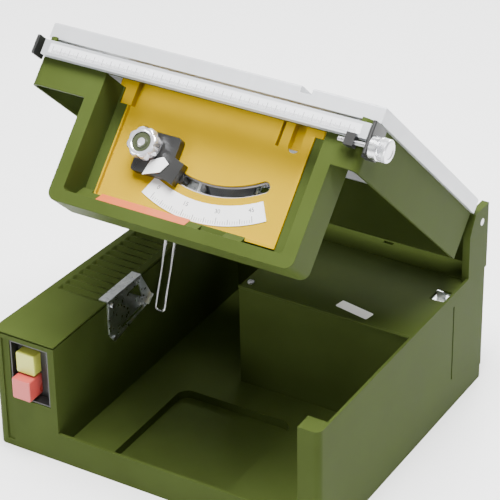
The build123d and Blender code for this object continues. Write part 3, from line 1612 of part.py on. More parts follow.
# ======================================================================================= stay
stay_wire = 1.6
stay_left = -124.0
stay_right = -112.5
stay_top_y = 215.5
stay_top_down = 72.0
stay_length = 161.0
stay_lean = 19.4
eye_radius = 5.0
stay_pin_radius = 2.5
eye_width = 4.0
leg_top = 1.0 - eye_radius
lug_plate = 2.0
lug_half_length = 12.0
pin_beyond = 3.0
stay_pivot = table.from_local_coords((0, stay_top_y, -stay_top_down))
stay = Plane(
    origin=stay_pivot,
    x_dir=(1, 0, 0),
    z_dir=(0, sin(radians(stay_lean)), cos(radians(stay_lean))),
)
with BuildPart() as lid_stay:
    with BuildLine(facing(stay, 0, 0, 0)):
        FilletPolyline(
            (stay_left, leg_top),
            (stay_left, -stay_length),
            (stay_right, -stay_length),
            (stay_right, leg_top),
            radius=4.0,
        )
    with BuildSketch(flat(stay, stay_left, 0, leg_top)):
        Circle(stay_wire)
    sweep()
    for leg_x in (stay_left, stay_right):
        with BuildSketch(sideways(stay, leg_x - eye_width / 2, 0, 0)):
            Circle(eye_radius)
            Circle(stay_pin_radius + running, mode=Mode.SUBTRACT)
        extrude(amount=eye_width)
finish(lid_stay, "lid_stay")

with BuildPart() as stay_lug:
    for ear_x in (stay_left + eye_width / 2 + apart, stay_right - eye_width / 2 - lug_plate - apart):
        with BuildSketch(sideways(table, ear_x, 0, 0)):
            with BuildLine():
                Polyline(
                    (stay_top_y - lug_half_length, -table_skin),
                    (stay_top_y + lug_half_length, -table_skin),
                    (stay_top_y + 5, -stay_top_down),
                    (stay_top_y - 5, -stay_top_down),
                    close=True,
                )
            make_face()
            with Locations((stay_top_y, -stay_top_down)):
                Circle(eye_radius)
                Circle(stay_pin_radius, mode=Mode.SUBTRACT)
        extrude(amount=lug_plate)
    with BuildSketch(flat(table, (stay_left + stay_right) / 2, stay_top_y, -table_skin - lug_plate)):
        Rectangle(stay_right - stay_left - eye_width - 2 * apart, 2 * lug_half_length)
    extrude(amount=lug_plate)
finish(stay_lug, "stay_lug")

with BuildPart() as stay_pin:
    with BuildSketch(sideways(table, stay_left - pin_beyond, stay_top_y, -stay_top_down)):
        Circle(stay_pin_radius)
    extrude(amount=stay_right - stay_left + 2 * pin_beyond)
finish(stay_pin, "stay_pin")

# ================================================================================ small screws
panel_screw_head = 2.6
panel_screw_height = 2.0
panel_screw_places = [(x, z) for x in (panel_left - 2, panel_right + 2) for z in (-72.0, -150.0)]
with BuildPart() as panel_screws:
    with BuildSketch(facing(table, 0, panel_y + panel_thickness, 0)):
        with Locations(*panel_screw_places):
            Circle(panel_screw_head)
    extrude(amount=-panel_screw_height)
finish(panel_screws, "panel_screws")
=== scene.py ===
"""The looks of a compact bench table saw with its table unit raised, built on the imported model.

Metres. X to the right, Y to the rear, Z up, the origin on the bench under the base.
"""

import json

import bmesh
import bpy
import numpy as np
from mathutils import Matrix, Vector


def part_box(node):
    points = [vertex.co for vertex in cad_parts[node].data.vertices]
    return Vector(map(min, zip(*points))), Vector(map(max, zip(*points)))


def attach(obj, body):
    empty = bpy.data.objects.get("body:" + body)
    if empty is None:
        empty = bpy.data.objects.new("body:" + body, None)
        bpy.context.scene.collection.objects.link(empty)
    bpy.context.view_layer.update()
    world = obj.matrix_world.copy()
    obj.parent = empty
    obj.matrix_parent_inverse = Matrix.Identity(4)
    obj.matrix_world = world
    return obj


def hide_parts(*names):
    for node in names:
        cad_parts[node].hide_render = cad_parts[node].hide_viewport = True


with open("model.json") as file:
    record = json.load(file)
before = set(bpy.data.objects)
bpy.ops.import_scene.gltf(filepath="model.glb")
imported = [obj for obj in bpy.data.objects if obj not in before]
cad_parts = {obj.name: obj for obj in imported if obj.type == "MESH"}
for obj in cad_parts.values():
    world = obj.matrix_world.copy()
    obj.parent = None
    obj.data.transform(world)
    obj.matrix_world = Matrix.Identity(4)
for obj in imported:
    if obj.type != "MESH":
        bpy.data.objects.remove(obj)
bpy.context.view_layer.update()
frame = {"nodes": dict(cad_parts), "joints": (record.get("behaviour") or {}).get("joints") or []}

# ---- camera -------------------------------------------------------------------------------------
# A long lens looks down on the saw's right front corner from standing height.
camera_place = Vector((1.0957, -1.8507, 1.4848))
camera_turn, camera_drop, camera_roll = np.radians((31.2, 31.1, -0.9))
sensor_width = 36.0
focal_in_frames = 4.7

camera_back = Vector((
    np.sin(camera_turn) * np.cos(camera_drop),
    -np.cos(camera_turn) * np.cos(camera_drop),
    np.sin(camera_drop),
))
level_right = Vector((np.cos(camera_turn), np.sin(camera_turn), 0.0))
level_up = camera_back.cross(level_right)
camera_right = level_right * np.cos(camera_roll) + level_up * np.sin(camera_roll)
camera_up = level_up * np.cos(camera_roll) - level_right * np.sin(camera_roll)
camera_data = bpy.data.cameras.new("camera")
camera_data.lens = focal_in_frames * sensor_width
camera_data.sensor_width = sensor_width
camera_data.shift_y = -0.002
camera = bpy.data.objects.new("camera", camera_data)
camera_axes = Matrix((camera_right, camera_up, camera_back)).transposed().to_4x4()
camera.matrix_world = Matrix.Translation(camera_place) @ camera_axes
bpy.context.collection.objects.link(camera)
bpy.context.scene.camera = camera

# ---- floor and light ----------------------------------------------------------------------------
# A white bench in a bright room. A broad lamp hangs above the saw and a little forward, so the
# raised table shades the well; weaker ones stand at the front left and behind.
floor_half = 4.0


def shader_of(name):
    """A new material: itself, its node tree and its one shader."""
    material = bpy.data.materials.new(name)
    material.use_nodes = True
    return material, material.node_tree, material.node_tree.nodes["Principled BSDF"]


def tones_of(tree, source, dark, light, low=0.3, high=0.7):
    """A ramp from the dark to the light tone, read from a grey pattern; gives its colour output."""
    ramp = tree.nodes.new("ShaderNodeValToRGB")
    ramp.color_ramp.elements[0].position = low
    ramp.color_ramp.elements[0].color = (*dark, 1)
    ramp.color_ramp.elements[1].position = high
    ramp.color_ramp.elements[1].color = (*light, 1)
    tree.links.new(source, ramp.inputs["Fac"])
    return ramp.outputs["Color"]


def pattern(tree, kind, scale, detail=2.0, stretch=(1.0, 1.0, 1.0)):
    """A noise or cell pattern in the object's own coordinates, stretched along its axes."""
    place = tree.nodes.new("ShaderNodeTexCoord")
    mapping = tree.nodes.new("ShaderNodeMapping")
    mapping.inputs["Scale"].default_value = stretch
    texture = tree.nodes.new(kind)
    texture.inputs["Scale"].default_value = scale
    if "Detail" in texture.inputs:
        texture.inputs["Detail"].default_value = detail
    tree.links.new(place.outputs["Object"], mapping.inputs["Vector"])
    tree.links.new(mapping.outputs["Vector"], texture.inputs["Vector"])
    return texture


def bench_paint():
    """Matt white paint with a faint unevenness."""
    material, tree, shader = shader_of("bench_paint")
    cloud = pattern(tree, "ShaderNodeTexNoise", 3.0)
    tree.links.new(tones_of(tree, cloud.outputs["Fac"], (0.93, 0.93, 0.93), (0.95, 0.95, 0.95)),
                   shader.inputs["Base Color"])
    shader.inputs["Roughness"].default_value = 0.8
    return material


floor_mesh = bpy.data.meshes.new("floor")
floor_corners = [(-floor_half, -floor_half, 0), (floor_half, -floor_half, 0),
                 (floor_half, floor_half, 0), (-floor_half, floor_half, 0)]
floor_mesh.from_pydata(floor_corners, [], [(0, 1, 2, 3)])
floor_mesh.materials.append(bench_paint())
floor = bpy.data.objects.new("floor", floor_mesh)
bpy.context.collection.objects.link(floor)

world = bpy.data.worlds.new("room")
world.use_nodes = True
world.node_tree.nodes["Background"].inputs["Color"].default_value = (1.0, 1.0, 1.0, 1.0)
world.node_tree.nodes["Background"].inputs["Strength"].default_value = 0.5
bpy.context.scene.world = world

saw_middle = Vector((0.0, -0.03, 0.2))
for lamp_name, place, size, power in (
    ("front_lamp", (-1.5, -2.0, 1.4), 0.6, 26.0),
    ("ceiling_lamp", (0.25, -0.35, 2.5), 1.3, 250.0),
    ("rear_lamp", (-0.4, 2.2, 2.2), 1.2, 70.0),
):
    lamp_data = bpy.data.lights.new(lamp_name, "AREA")
    lamp_data.size = size
    lamp_data.energy = power
    lamp = bpy.data.objects.new(lamp_name, lamp_data)
    lamp.location = place
    lamp.rotation_euler = (saw_middle - Vector(place)).to_track_quat("-Z", "Y").to_euler()
    bpy.context.collection.objects.link(lamp)

# ---- base housing and deck ----------------------------------------------------------------------
# The lower case is one large green moulding, open at the top, with a sunk pan in its floor.
# The deck over the rear right is a second moulding, let in flush with the walls.
case_edge = 0.0011
deck_edge = 0.0007
sharp_turn = 35.0
flat_turn = 0.5
same_point = 2e-6


def raise_by(tree, shader, source, depth, strength):
    """Raises the surface from a grey pattern, by up to the depth in metres."""
    bump = tree.nodes.new("ShaderNodeBump")
    bump.inputs["Strength"].default_value = strength
    bump.inputs["Distance"].default_value = depth
    tree.links.new(source, bump.inputs["Height"])
    tree.links.new(bump.outputs["Normal"], shader.inputs["Normal"])


def gloss_by(tree, shader, source, low, high):
    """Roughness that wanders between two values with a grey pattern."""
    spread = tree.nodes.new("ShaderNodeMapRange")
    spread.inputs["To Min"].default_value = low
    spread.inputs["To Max"].default_value = high
    tree.links.new(source, spread.inputs["Value"])
    tree.links.new(spread.outputs["Result"], shader.inputs["Roughness"])


def moulded(name, dark, light, gloss, grain=900.0, depth=0.0003, strength=0.14, shine=0.5):
    """Moulded plastic: two close tones mixed by a slow cloud, a fine spark-eroded grain raised
    from noise, and a gloss that wanders with the same cloud."""
    material, tree, shader = shader_of(name)
    cloud = pattern(tree, "ShaderNodeTexNoise", 14.0, 4.0)
    fine = pattern(tree, "ShaderNodeTexNoise", grain)
    tree.links.new(tones_of(tree, cloud.outputs["Fac"], dark, light), shader.inputs["Base Color"])
    gloss_by(tree, shader, cloud.outputs["Fac"], gloss - 0.07, gloss + 0.07)
    raise_by(tree, shader, fine.outputs["Fac"], depth, strength)
    shader.inputs["Specular IOR Level"].default_value = shine
    return material


def stands_for(piece, node, body):
    """A finished piece rides on its body and stands for the plain CAD piece."""
    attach(piece, body)
    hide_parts(node)


def softened(node, body, material, edge, steps=2):
    """A copy of a CAD piece with its corners rounded: loose triangles are joined, flat ones
    become one face, and each corner sharper than the turn gets a bevel of the edge's width."""
    mesh = frame["nodes"][node].data.copy()
    mesh.name = node + "_shell"
    shape = bmesh.new()
    shape.from_mesh(mesh)
    bmesh.ops.remove_doubles(shape, verts=shape.verts, dist=same_point)
    bmesh.ops.dissolve_limit(shape, angle_limit=np.radians(flat_turn), verts=shape.verts,
                            edges=shape.edges)
    shape.to_mesh(mesh)
    shape.free()
    if "custom_normal" in mesh.attributes:
        mesh.attributes.remove(mesh.attributes["custom_normal"])
    mesh.shade_smooth()
    mesh.set_sharp_from_angle(angle=np.radians(sharp_turn))
    mesh.materials.clear()
    mesh.materials.append(material)
    piece = bpy.data.objects.new(node + "_shell", mesh)
    bpy.context.collection.objects.link(piece)
    rounded = piece.modifiers.new("rounded", "BEVEL")
    rounded.width = edge
    rounded.segments = steps
    rounded.limit_method = "ANGLE"
    rounded.angle_limit = np.radians(sharp_turn)
    rounded.harden_normals = True
    stands_for(piece, node, body)
    return piece


green = moulded("green_moulding", (0.036, 0.050, 0.011), (0.043, 0.060, 0.014), 0.45, shine=0.02)
softened("base_housing", "base", green, case_edge)
softened("deck_cover", "base", green, deck_edge)

# ---- wing cover ---------------------------------------------------------------------------------
# The lid of the switch wing is a thin green moulding, smooth at the front, with a run of
# louvres across it to the rear. It lies on the wing's walls and its corner follows the case's.
cover_low, cover_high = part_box("wing_cover")
cover_corner = 0.008
cover_edge = 0.0012
cover_sheet = 0.0022
louvre_first = -0.124
louvre_pitch = 0.012
louvre_count = 15
louvre_depth = 0.0038
louvre_margin = 0.009
louvre_fade = 0.002
louvre_fall = 2 / 3
louvre_steps = 15
wing_narrowing = 0.022 / 0.372
edge_steps = 6
grid_pole = 1e-7


def woven(name, grid, material, closed_round=False):
    """A smooth mesh from a grid of points: four neighbours make a face. The last column joins
    the first where the grid goes right round; doubles are merged, and normals point outwards."""
    rows, columns = grid.shape[:2]
    index = np.arange(rows * columns).reshape(rows, columns)
    if closed_round:
        index = np.hstack((index, index[:, :1]))
    faces = np.stack((index[:-1, :-1], index[1:, :-1], index[1:, 1:], index[:-1, 1:]), axis=-1)
    mesh = bpy.data.meshes.new(name)
    mesh.from_pydata(grid.reshape(-1, 3).tolist(), [], faces.reshape(-1, 4).tolist())
    shape = bmesh.new()
    shape.from_mesh(mesh)
    bmesh.ops.remove_doubles(shape, verts=shape.verts, dist=grid_pole)
    bmesh.ops.recalc_face_normals(shape, faces=shape.faces)
    shape.to_mesh(mesh)
    shape.free()
    mesh.shade_smooth()
    mesh.set_sharp_from_angle(angle=np.radians(sharp_turn))
    mesh.materials.append(material)
    piece = bpy.data.objects.new(name, mesh)
    bpy.context.collection.objects.link(piece)
    return piece


def louvred_cover():
    """A sheet over the wing. Across it runs from the slanting left edge to the straight right
    edge; at the front corner the left edge follows a quarter circle. Its height is the top,
    less a quarter round near every border, less a saw-tooth of louvres: each falls gently
    over two thirds of its pitch and climbs back over the rest."""
    near_edge = cover_edge * (1 - np.cos(np.linspace(0, np.pi / 2, edge_steps)))
    louvre_rows = louvre_first + louvre_pitch * np.arange(0, louvre_count + 1e-9, 1 / louvre_steps)
    corner_rows = np.linspace(1.5 * cover_edge, cover_corner, 9)
    front_rows = cover_low.y + np.concatenate((near_edge, corner_rows))
    rows = np.concatenate((front_rows, np.linspace(front_rows[-1] + 0.002, louvre_first - 0.001, 24),
                           louvre_rows, np.linspace(louvre_rows[-1] + 0.001, cover_high.y - 0.002, 8),
                           cover_high.y - near_edge[::-1]))
    left = cover_low.x + wing_narrowing * (rows - cover_low.y)
    inside_corner = np.clip(cover_corner - (rows - cover_low.y), 0, cover_corner)
    left = left + cover_corner - np.sqrt(cover_corner ** 2 - inside_corner ** 2)
    width = cover_high.x - left
    reach = louvre_margin + louvre_fade
    margin_steps = np.concatenate((near_edge, np.linspace(1.5 * cover_edge, reach, 12)))
    middle_steps = np.linspace(0, 1, 26)[1:-1]
    across = np.concatenate((
        margin_steps[None, :].repeat(len(rows), 0),
        reach + middle_steps[None, :] * (width[:, None] - 2 * reach),
        width[:, None] - margin_steps[::-1][None, :],
    ), axis=1)
    border = np.minimum(across, width[:, None] - across)
    border = np.minimum(border, (rows - cover_low.y)[:, None])
    border = np.minimum(border, (cover_high.y - rows)[:, None])
    inward = np.clip(cover_edge - border, 0, cover_edge)
    drop = cover_edge - np.sqrt(cover_edge ** 2 - inward ** 2)
    share = np.mod((rows - louvre_first) / louvre_pitch, 1.0)
    tooth = np.where(share < louvre_fall, share / louvre_fall, (1 - share) / (1 - louvre_fall))
    in_run = (rows > louvre_first) & (rows < louvre_first + louvre_count * louvre_pitch - 1e-6)
    from_side = np.minimum(across, width[:, None] - across)
    window = np.clip((from_side - louvre_margin) / louvre_fade, 0, 1)
    height = cover_high.z - drop - louvre_depth * (tooth * in_run)[:, None] * window
    return np.stack((left[:, None] + across, rows[:, None].repeat(across.shape[1], 1), height), axis=-1)


wing_lid = woven("louvred_wing_cover", louvred_cover(), green)
wall_of_lid = wing_lid.modifiers.new("wall", "SOLIDIFY")
wall_of_lid.thickness = cover_sheet
wall_of_lid.offset = -1.0
stands_for(wing_lid, "wing_cover", "base")

# ---- deck label, catch and screws ---------------------------------------------------------------
# A blank white label on the deck, a bent steel catch under its window, and pan-head screws
# with a cross recess that hold the deck down.
def bright_steel(name, dark=(0.42, 0.42, 0.43), light=(0.6, 0.6, 0.61), gloss=0.28, metal=1.0):
    """Plated steel: fine turning marks in the gloss and slow stains in the tone."""
    material, tree, shader = shader_of(name)
    stain = pattern(tree, "ShaderNodeTexNoise", 60.0, 4.0)
    marks = pattern(tree, "ShaderNodeTexNoise", 1500.0)
    tree.links.new(tones_of(tree, stain.outputs["Fac"], dark, light), shader.inputs["Base Color"])
    gloss_by(tree, shader, stain.outputs["Fac"], gloss - 0.08, gloss + 0.1)
    raise_by(tree, shader, marks.outputs["Fac"], 0.0001, 0.08)
    shader.inputs["Metallic"].default_value = metal
    return material


cross_reach = 0.6
cross_bar = 0.13
cross_depth = 0.34
rim_fall = 0.75


def cross_screw(name, places, axis, head, height, material):
    """Pan-head screws: a disc grid of rings and spokes. The height falls from the crown to the
    rim with the fourth power of the way out; within two crossed bars it is sunk by about a third
    of the head's radius."""
    axis = np.array(axis, float)
    side = np.cross(axis, (0.0, 0.0, 1.0)) if abs(axis[2]) < 0.9 else np.array((1.0, 0.0, 0.0))
    side = side / np.linalg.norm(side)
    other = np.cross(axis, side)
    turn = np.linspace(0, 2 * np.pi, 48, endpoint=False)
    inner_rings = np.linspace(0, cross_reach + 0.02, 12)
    outer_rings = np.linspace(cross_reach + 0.06, 1.0, 8)
    reach = np.concatenate((inner_rings, outer_rings)) * head
    x = reach[:, None] * np.cos(turn)
    y = reach[:, None] * np.sin(turn)
    crown = height * np.sqrt(np.clip(1 - rim_fall * (reach / head) ** 4, 0, 1))
    crown = crown[:, None] * np.ones_like(x)
    bar = cross_bar * head
    in_cross = ((np.abs(x) < bar) | (np.abs(y) < bar)) & (reach[:, None] < cross_reach * head)
    crown = np.where(in_cross, crown - cross_depth * head, crown)
    skirt = np.zeros((1, len(turn)))
    x = np.vstack((x, x[-1:], np.zeros_like(skirt)))
    y = np.vstack((y, y[-1:], np.zeros_like(skirt)))
    crown = np.vstack((crown, skirt, skirt))
    local = x[..., None] * side + y[..., None] * other + crown[..., None] * axis
    return [woven(f"{name}_{number}", local + np.array(place), material, closed_round=True)
            for number, place in enumerate(places, 1)]


def painted_with(node, material):
    """Gives a CAD piece, whose shape is right as it is, its finish."""
    piece = frame["nodes"][node]
    piece.data.materials.clear()
    piece.data.materials.append(material)


label_card = moulded("label_card", (0.78, 0.78, 0.75), (0.84, 0.84, 0.82), 0.55, 300.0, 0.0001, 0.1)
painted_with("deck_label", label_card)
screw_steel = bright_steel("screw_steel")


def zinc_plate(name):
    """Galvanised sheet: crystal cells of slightly different grey, soft in the gloss too."""
    material, tree, shader = shader_of(name)
    spangle = pattern(tree, "ShaderNodeTexVoronoi", 160.0)
    cloud = pattern(tree, "ShaderNodeTexNoise", 40.0, 4.0)
    tones = tones_of(tree, spangle.outputs["Color"], (0.5, 0.53, 0.53), (0.72, 0.75, 0.75), 0.0, 1.0)
    tree.links.new(tones, shader.inputs["Base Color"])
    gloss_by(tree, shader, spangle.outputs["Distance"], 0.16, 0.34)
    raise_by(tree, shader, cloud.outputs["Fac"], 0.0003, 0.1)
    shader.inputs["Metallic"].default_value = 1.0
    return material


zinc = zinc_plate("zinc_plate")
painted_with("deck_catch", zinc)
screw_low, screw_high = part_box("deck_screws")
screw_head = 0.0034
deck_screw_x = (screw_low.x + screw_high.x) / 2
head_rise = 0.0022
head_cover = 0.0004
head_cover_rise = 0.0003
deck_screw_places = [(deck_screw_x, y, screw_high.z - head_rise) for y in
                     (screw_low.y + screw_head, screw_high.y - screw_head)]
painted_with("deck_screws", screw_steel)
deck_screw_heads = cross_screw("deck_screw_head", deck_screw_places, (0, 0, 1),
                               screw_head + head_cover, head_rise + head_cover_rise, screw_steel)
for piece in deck_screw_heads:
    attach(piece, "base")

# ---- feet ---------------------------------------------------------------------------------------
# Four round rubber pads pressed into the underside, flush with the case's lower rim.
rubber = moulded("rubber", (0.012, 0.012, 0.012), (0.022, 0.022, 0.022), 0.75, 500.0, 0.0004, 0.25)
painted_with("feet", rubber)

# ---- switch -------------------------------------------------------------------------------------
# A black bezel let into the wing's front, with a cream start button above a red stop button
# that stands further out. The snap-in switch body sits behind them.
black = moulded("black_moulding", (0.010, 0.010, 0.010), (0.017, 0.017, 0.016), 0.36)
cream = moulded("cream_moulding", (0.42, 0.44, 0.06), (0.47, 0.49, 0.08), 0.3)
red = moulded("red_moulding", (0.40, 0.05, 0.04), (0.46, 0.065, 0.055), 0.28)
button_edge = 0.0009
softened("switch_housing", "base", black, 0.0004)
softened("start_button", "start_button", cream, button_edge)
softened("stop_button", "stop_button", red, button_edge)
painted_with("switch_block", black)
painted_with("cable_gland", rubber)

# ---- circuit board ------------------------------------------------------------------------------
# The soft-start board on its pillars in the wing: green laminate under a dull lacquer.
laminate = moulded("laminate", (0.012, 0.09, 0.04), (0.02, 0.13, 0.06), 0.3, 400.0, 0.0001, 0.1)
painted_with("circuit_board", laminate)

# ---- stay bracket and hinge pins ----------------------------------------------------------------
# A galvanised plate is screwed to the wing's inner wall, with a flange over its top edge;
# the table unit hangs on two plain steel pins through the posts.
softened("stay_bracket", "base", zinc, 0.0003)
painted_with("bracket_screws", screw_steel)
painted_with("hinge_pins", screw_steel)

# ---- table --------------------------------------------------------------------------------------
# The table is an aluminium casting: its top is milled from front to rear; its edges, pale cast
# skin on the saw, get the same milled finish here. The insert over the blade is a separate milled
# plate.
def milled(name):
    """Milled aluminium: hair-fine lines along the table, a slow change of tone, a soft shine."""
    material, tree, shader = shader_of(name)
    lines = pattern(tree, "ShaderNodeTexNoise", 700.0, 3.0, (1.0, 0.012, 0.012))
    cloud = pattern(tree, "ShaderNodeTexNoise", 9.0, 5.0)
    tree.links.new(tones_of(tree, cloud.outputs["Fac"], (0.52, 0.53, 0.55), (0.60, 0.61, 0.63)),
                   shader.inputs["Base Color"])
    gloss_by(tree, shader, lines.outputs["Fac"], 0.3, 0.5)
    raise_by(tree, shader, lines.outputs["Fac"], 0.0002, 0.12)
    shader.inputs["Metallic"].default_value = 0.55
    return material


aluminium = milled("milled_aluminium")
softened("saw_table", "table_unit", aluminium, 0.0006)
softened("table_insert", "table_unit", aluminium, 0.0003)

# ---- upper housing ------------------------------------------------------------------------------
# The green skirt under the table, with the deep hanging recess for the operating side, is one
# moulding with well rounded edges.
softened("upper_housing", "table_unit", green, 0.0013, 3)

# ---- tilt panel, arc and scales -----------------------------------------------------------------
# A yellow moulding closes the recess. Its curved slot shows a steel track; a white scale in
# degrees is stuck below it, and a blank strip on the ledge under the panel.
opening = np.radians(44.0)
table_right_axis = np.array((1.0, 0.0, 0.0))
table_rear_axis = np.array((0.0, np.cos(opening), -np.sin(opening)))
table_up_axis = np.array((0.0, np.sin(opening), np.cos(opening)))
lid_joint = next(joint for joint in frame["joints"] if joint["name"] == "lid_hinge")
hinge_to_front = 0.331
hinge_to_top = 0.017
table_corner = (np.array(lid_joint["pos_m"]) - hinge_to_front * table_rear_axis
                + hinge_to_top * table_up_axis)


def on_table(x, y, z):
    """A point of the raised table's own frame: x to the right, y rearwards from its front edge,
    z up from its top. Takes numbers or arrays."""
    x, y, z = (np.asarray(value, float)[..., None] for value in (x, y, z))
    return table_corner + x * table_right_axis + y * table_rear_axis + z * table_up_axis


def bars(name, centres, across, along, up, widths, lengths, height, material):
    """Many small raised bars in one mesh: each has its centre, its own across and along
    directions, and half its width and length to each side; all rise by the same height."""
    corner_signs = np.array([(a, b, c) for c in (0, 1) for b in (-1, 1) for a in (-1, 1)], float)
    corners = (centres[:, None, :]
               + corner_signs[None, :, :1] * (widths / 2)[:, None, None] * across[:, None, :]
               + corner_signs[None, :, 1:2] * (lengths / 2)[:, None, None] * along[:, None, :]
               + corner_signs[None, :, 2:] * height * up)
    box_faces = np.array([(0, 1, 3, 2), (4, 6, 7, 5), (0, 4, 5, 1),
                          (1, 5, 7, 3), (3, 7, 6, 2), (2, 6, 4, 0)])
    faces = (box_faces[None] + 8 * np.arange(len(centres))[:, None, None]).reshape(-1, 4)
    mesh = bpy.data.meshes.new(name)
    mesh.from_pydata(corners.reshape(-1, 3).tolist(), [], faces.tolist())
    shape = bmesh.new()
    shape.from_mesh(mesh)
    bmesh.ops.recalc_face_normals(shape, faces=shape.faces)
    shape.to_mesh(mesh)
    shape.free()
    mesh.materials.append(material)
    piece = bpy.data.objects.new(name, mesh)
    bpy.context.collection.objects.link(piece)
    return piece


yellow = moulded("yellow_moulding", (0.37, 0.235, 0.0), (0.40, 0.255, 0.0), 0.42, shine=0.03)
softened("tilt_panel", "table_unit", yellow, 0.0006)
track_steel = bright_steel("track_steel", (0.30, 0.30, 0.33), (0.38, 0.38, 0.41), 0.4, 0.25)
painted_with("arc_track", track_steel)
painted_with("panel_screws", screw_steel)
white = moulded("white_print", (0.72, 0.72, 0.72), (0.76, 0.76, 0.76), 0.42, 400.0, 0.0001, 0.08)
painted_with("arc_scale", white)
strip_card = moulded("strip_card", (0.45, 0.075, 0.01), (0.42, 0.10, 0.035), 0.5, 300.0, 0.0001, 0.1)
painted_with("lip_label", strip_card)

swing_x = 0.014
panel_face_y = 0.033
scale_proud = 0.0008
scale_outer = 0.153
ink = moulded("black_print", (0.015, 0.015, 0.015), (0.025, 0.025, 0.025), 0.5)
scale_ink = 0.00008
degrees_at = np.arange(0, 46)
upright_degree = 20.5
long_mark, middle_mark, short_mark = 0.0068, 0.0052, 0.0034
broad_mark, fine_mark = 0.0006, 0.00035
mark_border = 0.0015
mark_angle = np.radians(degrees_at - upright_degree)
mark_length = np.where(degrees_at % 5 == 0, middle_mark, short_mark)
mark_length = np.where(degrees_at % 15 == 0, long_mark, mark_length)
mark_width = np.where(degrees_at % 5 == 0, broad_mark, fine_mark)
mark_radius = scale_outer - mark_border - mark_length / 2
front_axis = -table_rear_axis
mark_centres = on_table(swing_x + mark_radius * np.sin(mark_angle),
                        np.full(len(mark_angle), panel_face_y - scale_proud),
                        -mark_radius * np.cos(mark_angle))
mark_sine, mark_cosine = np.sin(mark_angle)[:, None], np.cos(mark_angle)[:, None]
mark_along = mark_sine * table_right_axis - mark_cosine * table_up_axis
mark_across = mark_cosine * table_right_axis + mark_sine * table_up_axis
degree_marks = bars("degree_marks", mark_centres, mark_across, mark_along, front_axis, mark_width,
                    mark_length, scale_ink, ink)
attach(degree_marks, "table_unit")

figure_height = 0.0062
figure_inset = 0.0145
figure_radius = scale_outer - figure_inset
for degree in (0, 15, 30, 45):
    figure = bpy.data.curves.new(f"figure_{degree}", "FONT")
    figure.body = str(degree)
    figure.size = figure_height
    figure.align_x = "CENTER"
    figure.align_y = "CENTER"
    figure.extrude = scale_ink
    holder = bpy.data.objects.new(f"figure_{degree}_text", figure)
    bpy.context.collection.objects.link(holder)
    bpy.context.view_layer.update()
    mesh = bpy.data.meshes.new_from_object(holder.evaluated_get(bpy.context.evaluated_depsgraph_get()))
    bpy.data.objects.remove(holder)
    angle = np.radians(degree - upright_degree)
    across = np.cos(angle) * table_right_axis + np.sin(angle) * table_up_axis
    upward = -np.sin(angle) * table_right_axis + np.cos(angle) * table_up_axis
    centre = on_table(swing_x + figure_radius * np.sin(angle), panel_face_y - scale_proud,
                      -figure_radius * np.cos(angle))
    axes = np.stack((across, upward, front_axis), axis=1)
    mesh.transform(Matrix.Translation(Vector(centre)) @ Matrix(axes.tolist()).to_4x4())
    mesh.materials.clear()
    mesh.materials.append(ink)
    piece = bpy.data.objects.new(f"degree_figure_{degree}", mesh)
    bpy.context.collection.objects.link(piece)
    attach(piece, "table_unit")

# ---- rail and fine adjustment -------------------------------------------------------------------
# A drawn aluminium rail along the table's front carries a printed scale. A knurled drum at the
# right end shifts it through a fine screw. Its lug is painted black as painted shade under the
# rail, and black end pieces hold it.
def drawn(name):
    """Drawn and anodised aluminium: long faint die lines along the rail, satin gloss."""
    material, tree, shader = shader_of(name)
    lines = pattern(tree, "ShaderNodeTexNoise", 900.0, 2.0, (0.006, 1.0, 1.0))
    cloud = pattern(tree, "ShaderNodeTexNoise", 12.0, 4.0)
    tree.links.new(tones_of(tree, cloud.outputs["Fac"], (0.48, 0.50, 0.52), (0.58, 0.60, 0.62)),
                   shader.inputs["Base Color"])
    gloss_by(tree, shader, lines.outputs["Fac"], 0.28, 0.46)
    raise_by(tree, shader, lines.outputs["Fac"], 0.0002, 0.1)
    shader.inputs["Metallic"].default_value = 0.6
    return material


drawn_aluminium = drawn("drawn_aluminium")
rail = softened("guide_rail", "rail", drawn_aluminium, 0.0004)
# Painted shade: the lug below the rail's underside gets the black moulding, which stands in for the shadow
# under the rail.
lug_shade_depth = 0.0402
rail.data.materials.append(black)
for face in rail.data.polygons:
    depth_below = (table_corner - np.array(face.center)) @ table_up_axis
    face.material_index = int(depth_below > lug_shade_depth)
rail_print = moulded("rail_print", (0.60, 0.61, 0.63), (0.66, 0.67, 0.69), 0.4, 400.0, 0.0001, 0.08)
painted_with("rail_scale", rail_print)
rail_low, rail_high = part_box("rail_scale")
rail_mark_border = 0.0045
rail_marks_from = rail_low.x + rail_mark_border
rail_mark_pitch = 0.001
rail_mark_count = int((rail_high.x - rail_low.x - 2 * rail_mark_border) / rail_mark_pitch)
rail_face_y = -0.0204
rail_scale_low = -0.0366
number = np.arange(rail_mark_count)
rail_mark_length = np.where(number % 10 == 0, long_mark, np.where(number % 5 == 0, 0.0048, 0.003))
rail_mark_width = np.where(number % 10 == 0, 0.00045, 0.00025)
rail_mark_centres = on_table(rail_marks_from + number * rail_mark_pitch, np.full(len(number), rail_face_y),
                             rail_scale_low + rail_mark_length / 2)
same = np.ones((len(number), 1))
rail_marks = bars("rail_marks", rail_mark_centres, same * table_right_axis, same * table_up_axis,
                  front_axis, rail_mark_width, rail_mark_length, scale_ink, ink)
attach(rail_marks, "rail")
softened("rail_end_block", "table_unit", black, 0.0005)

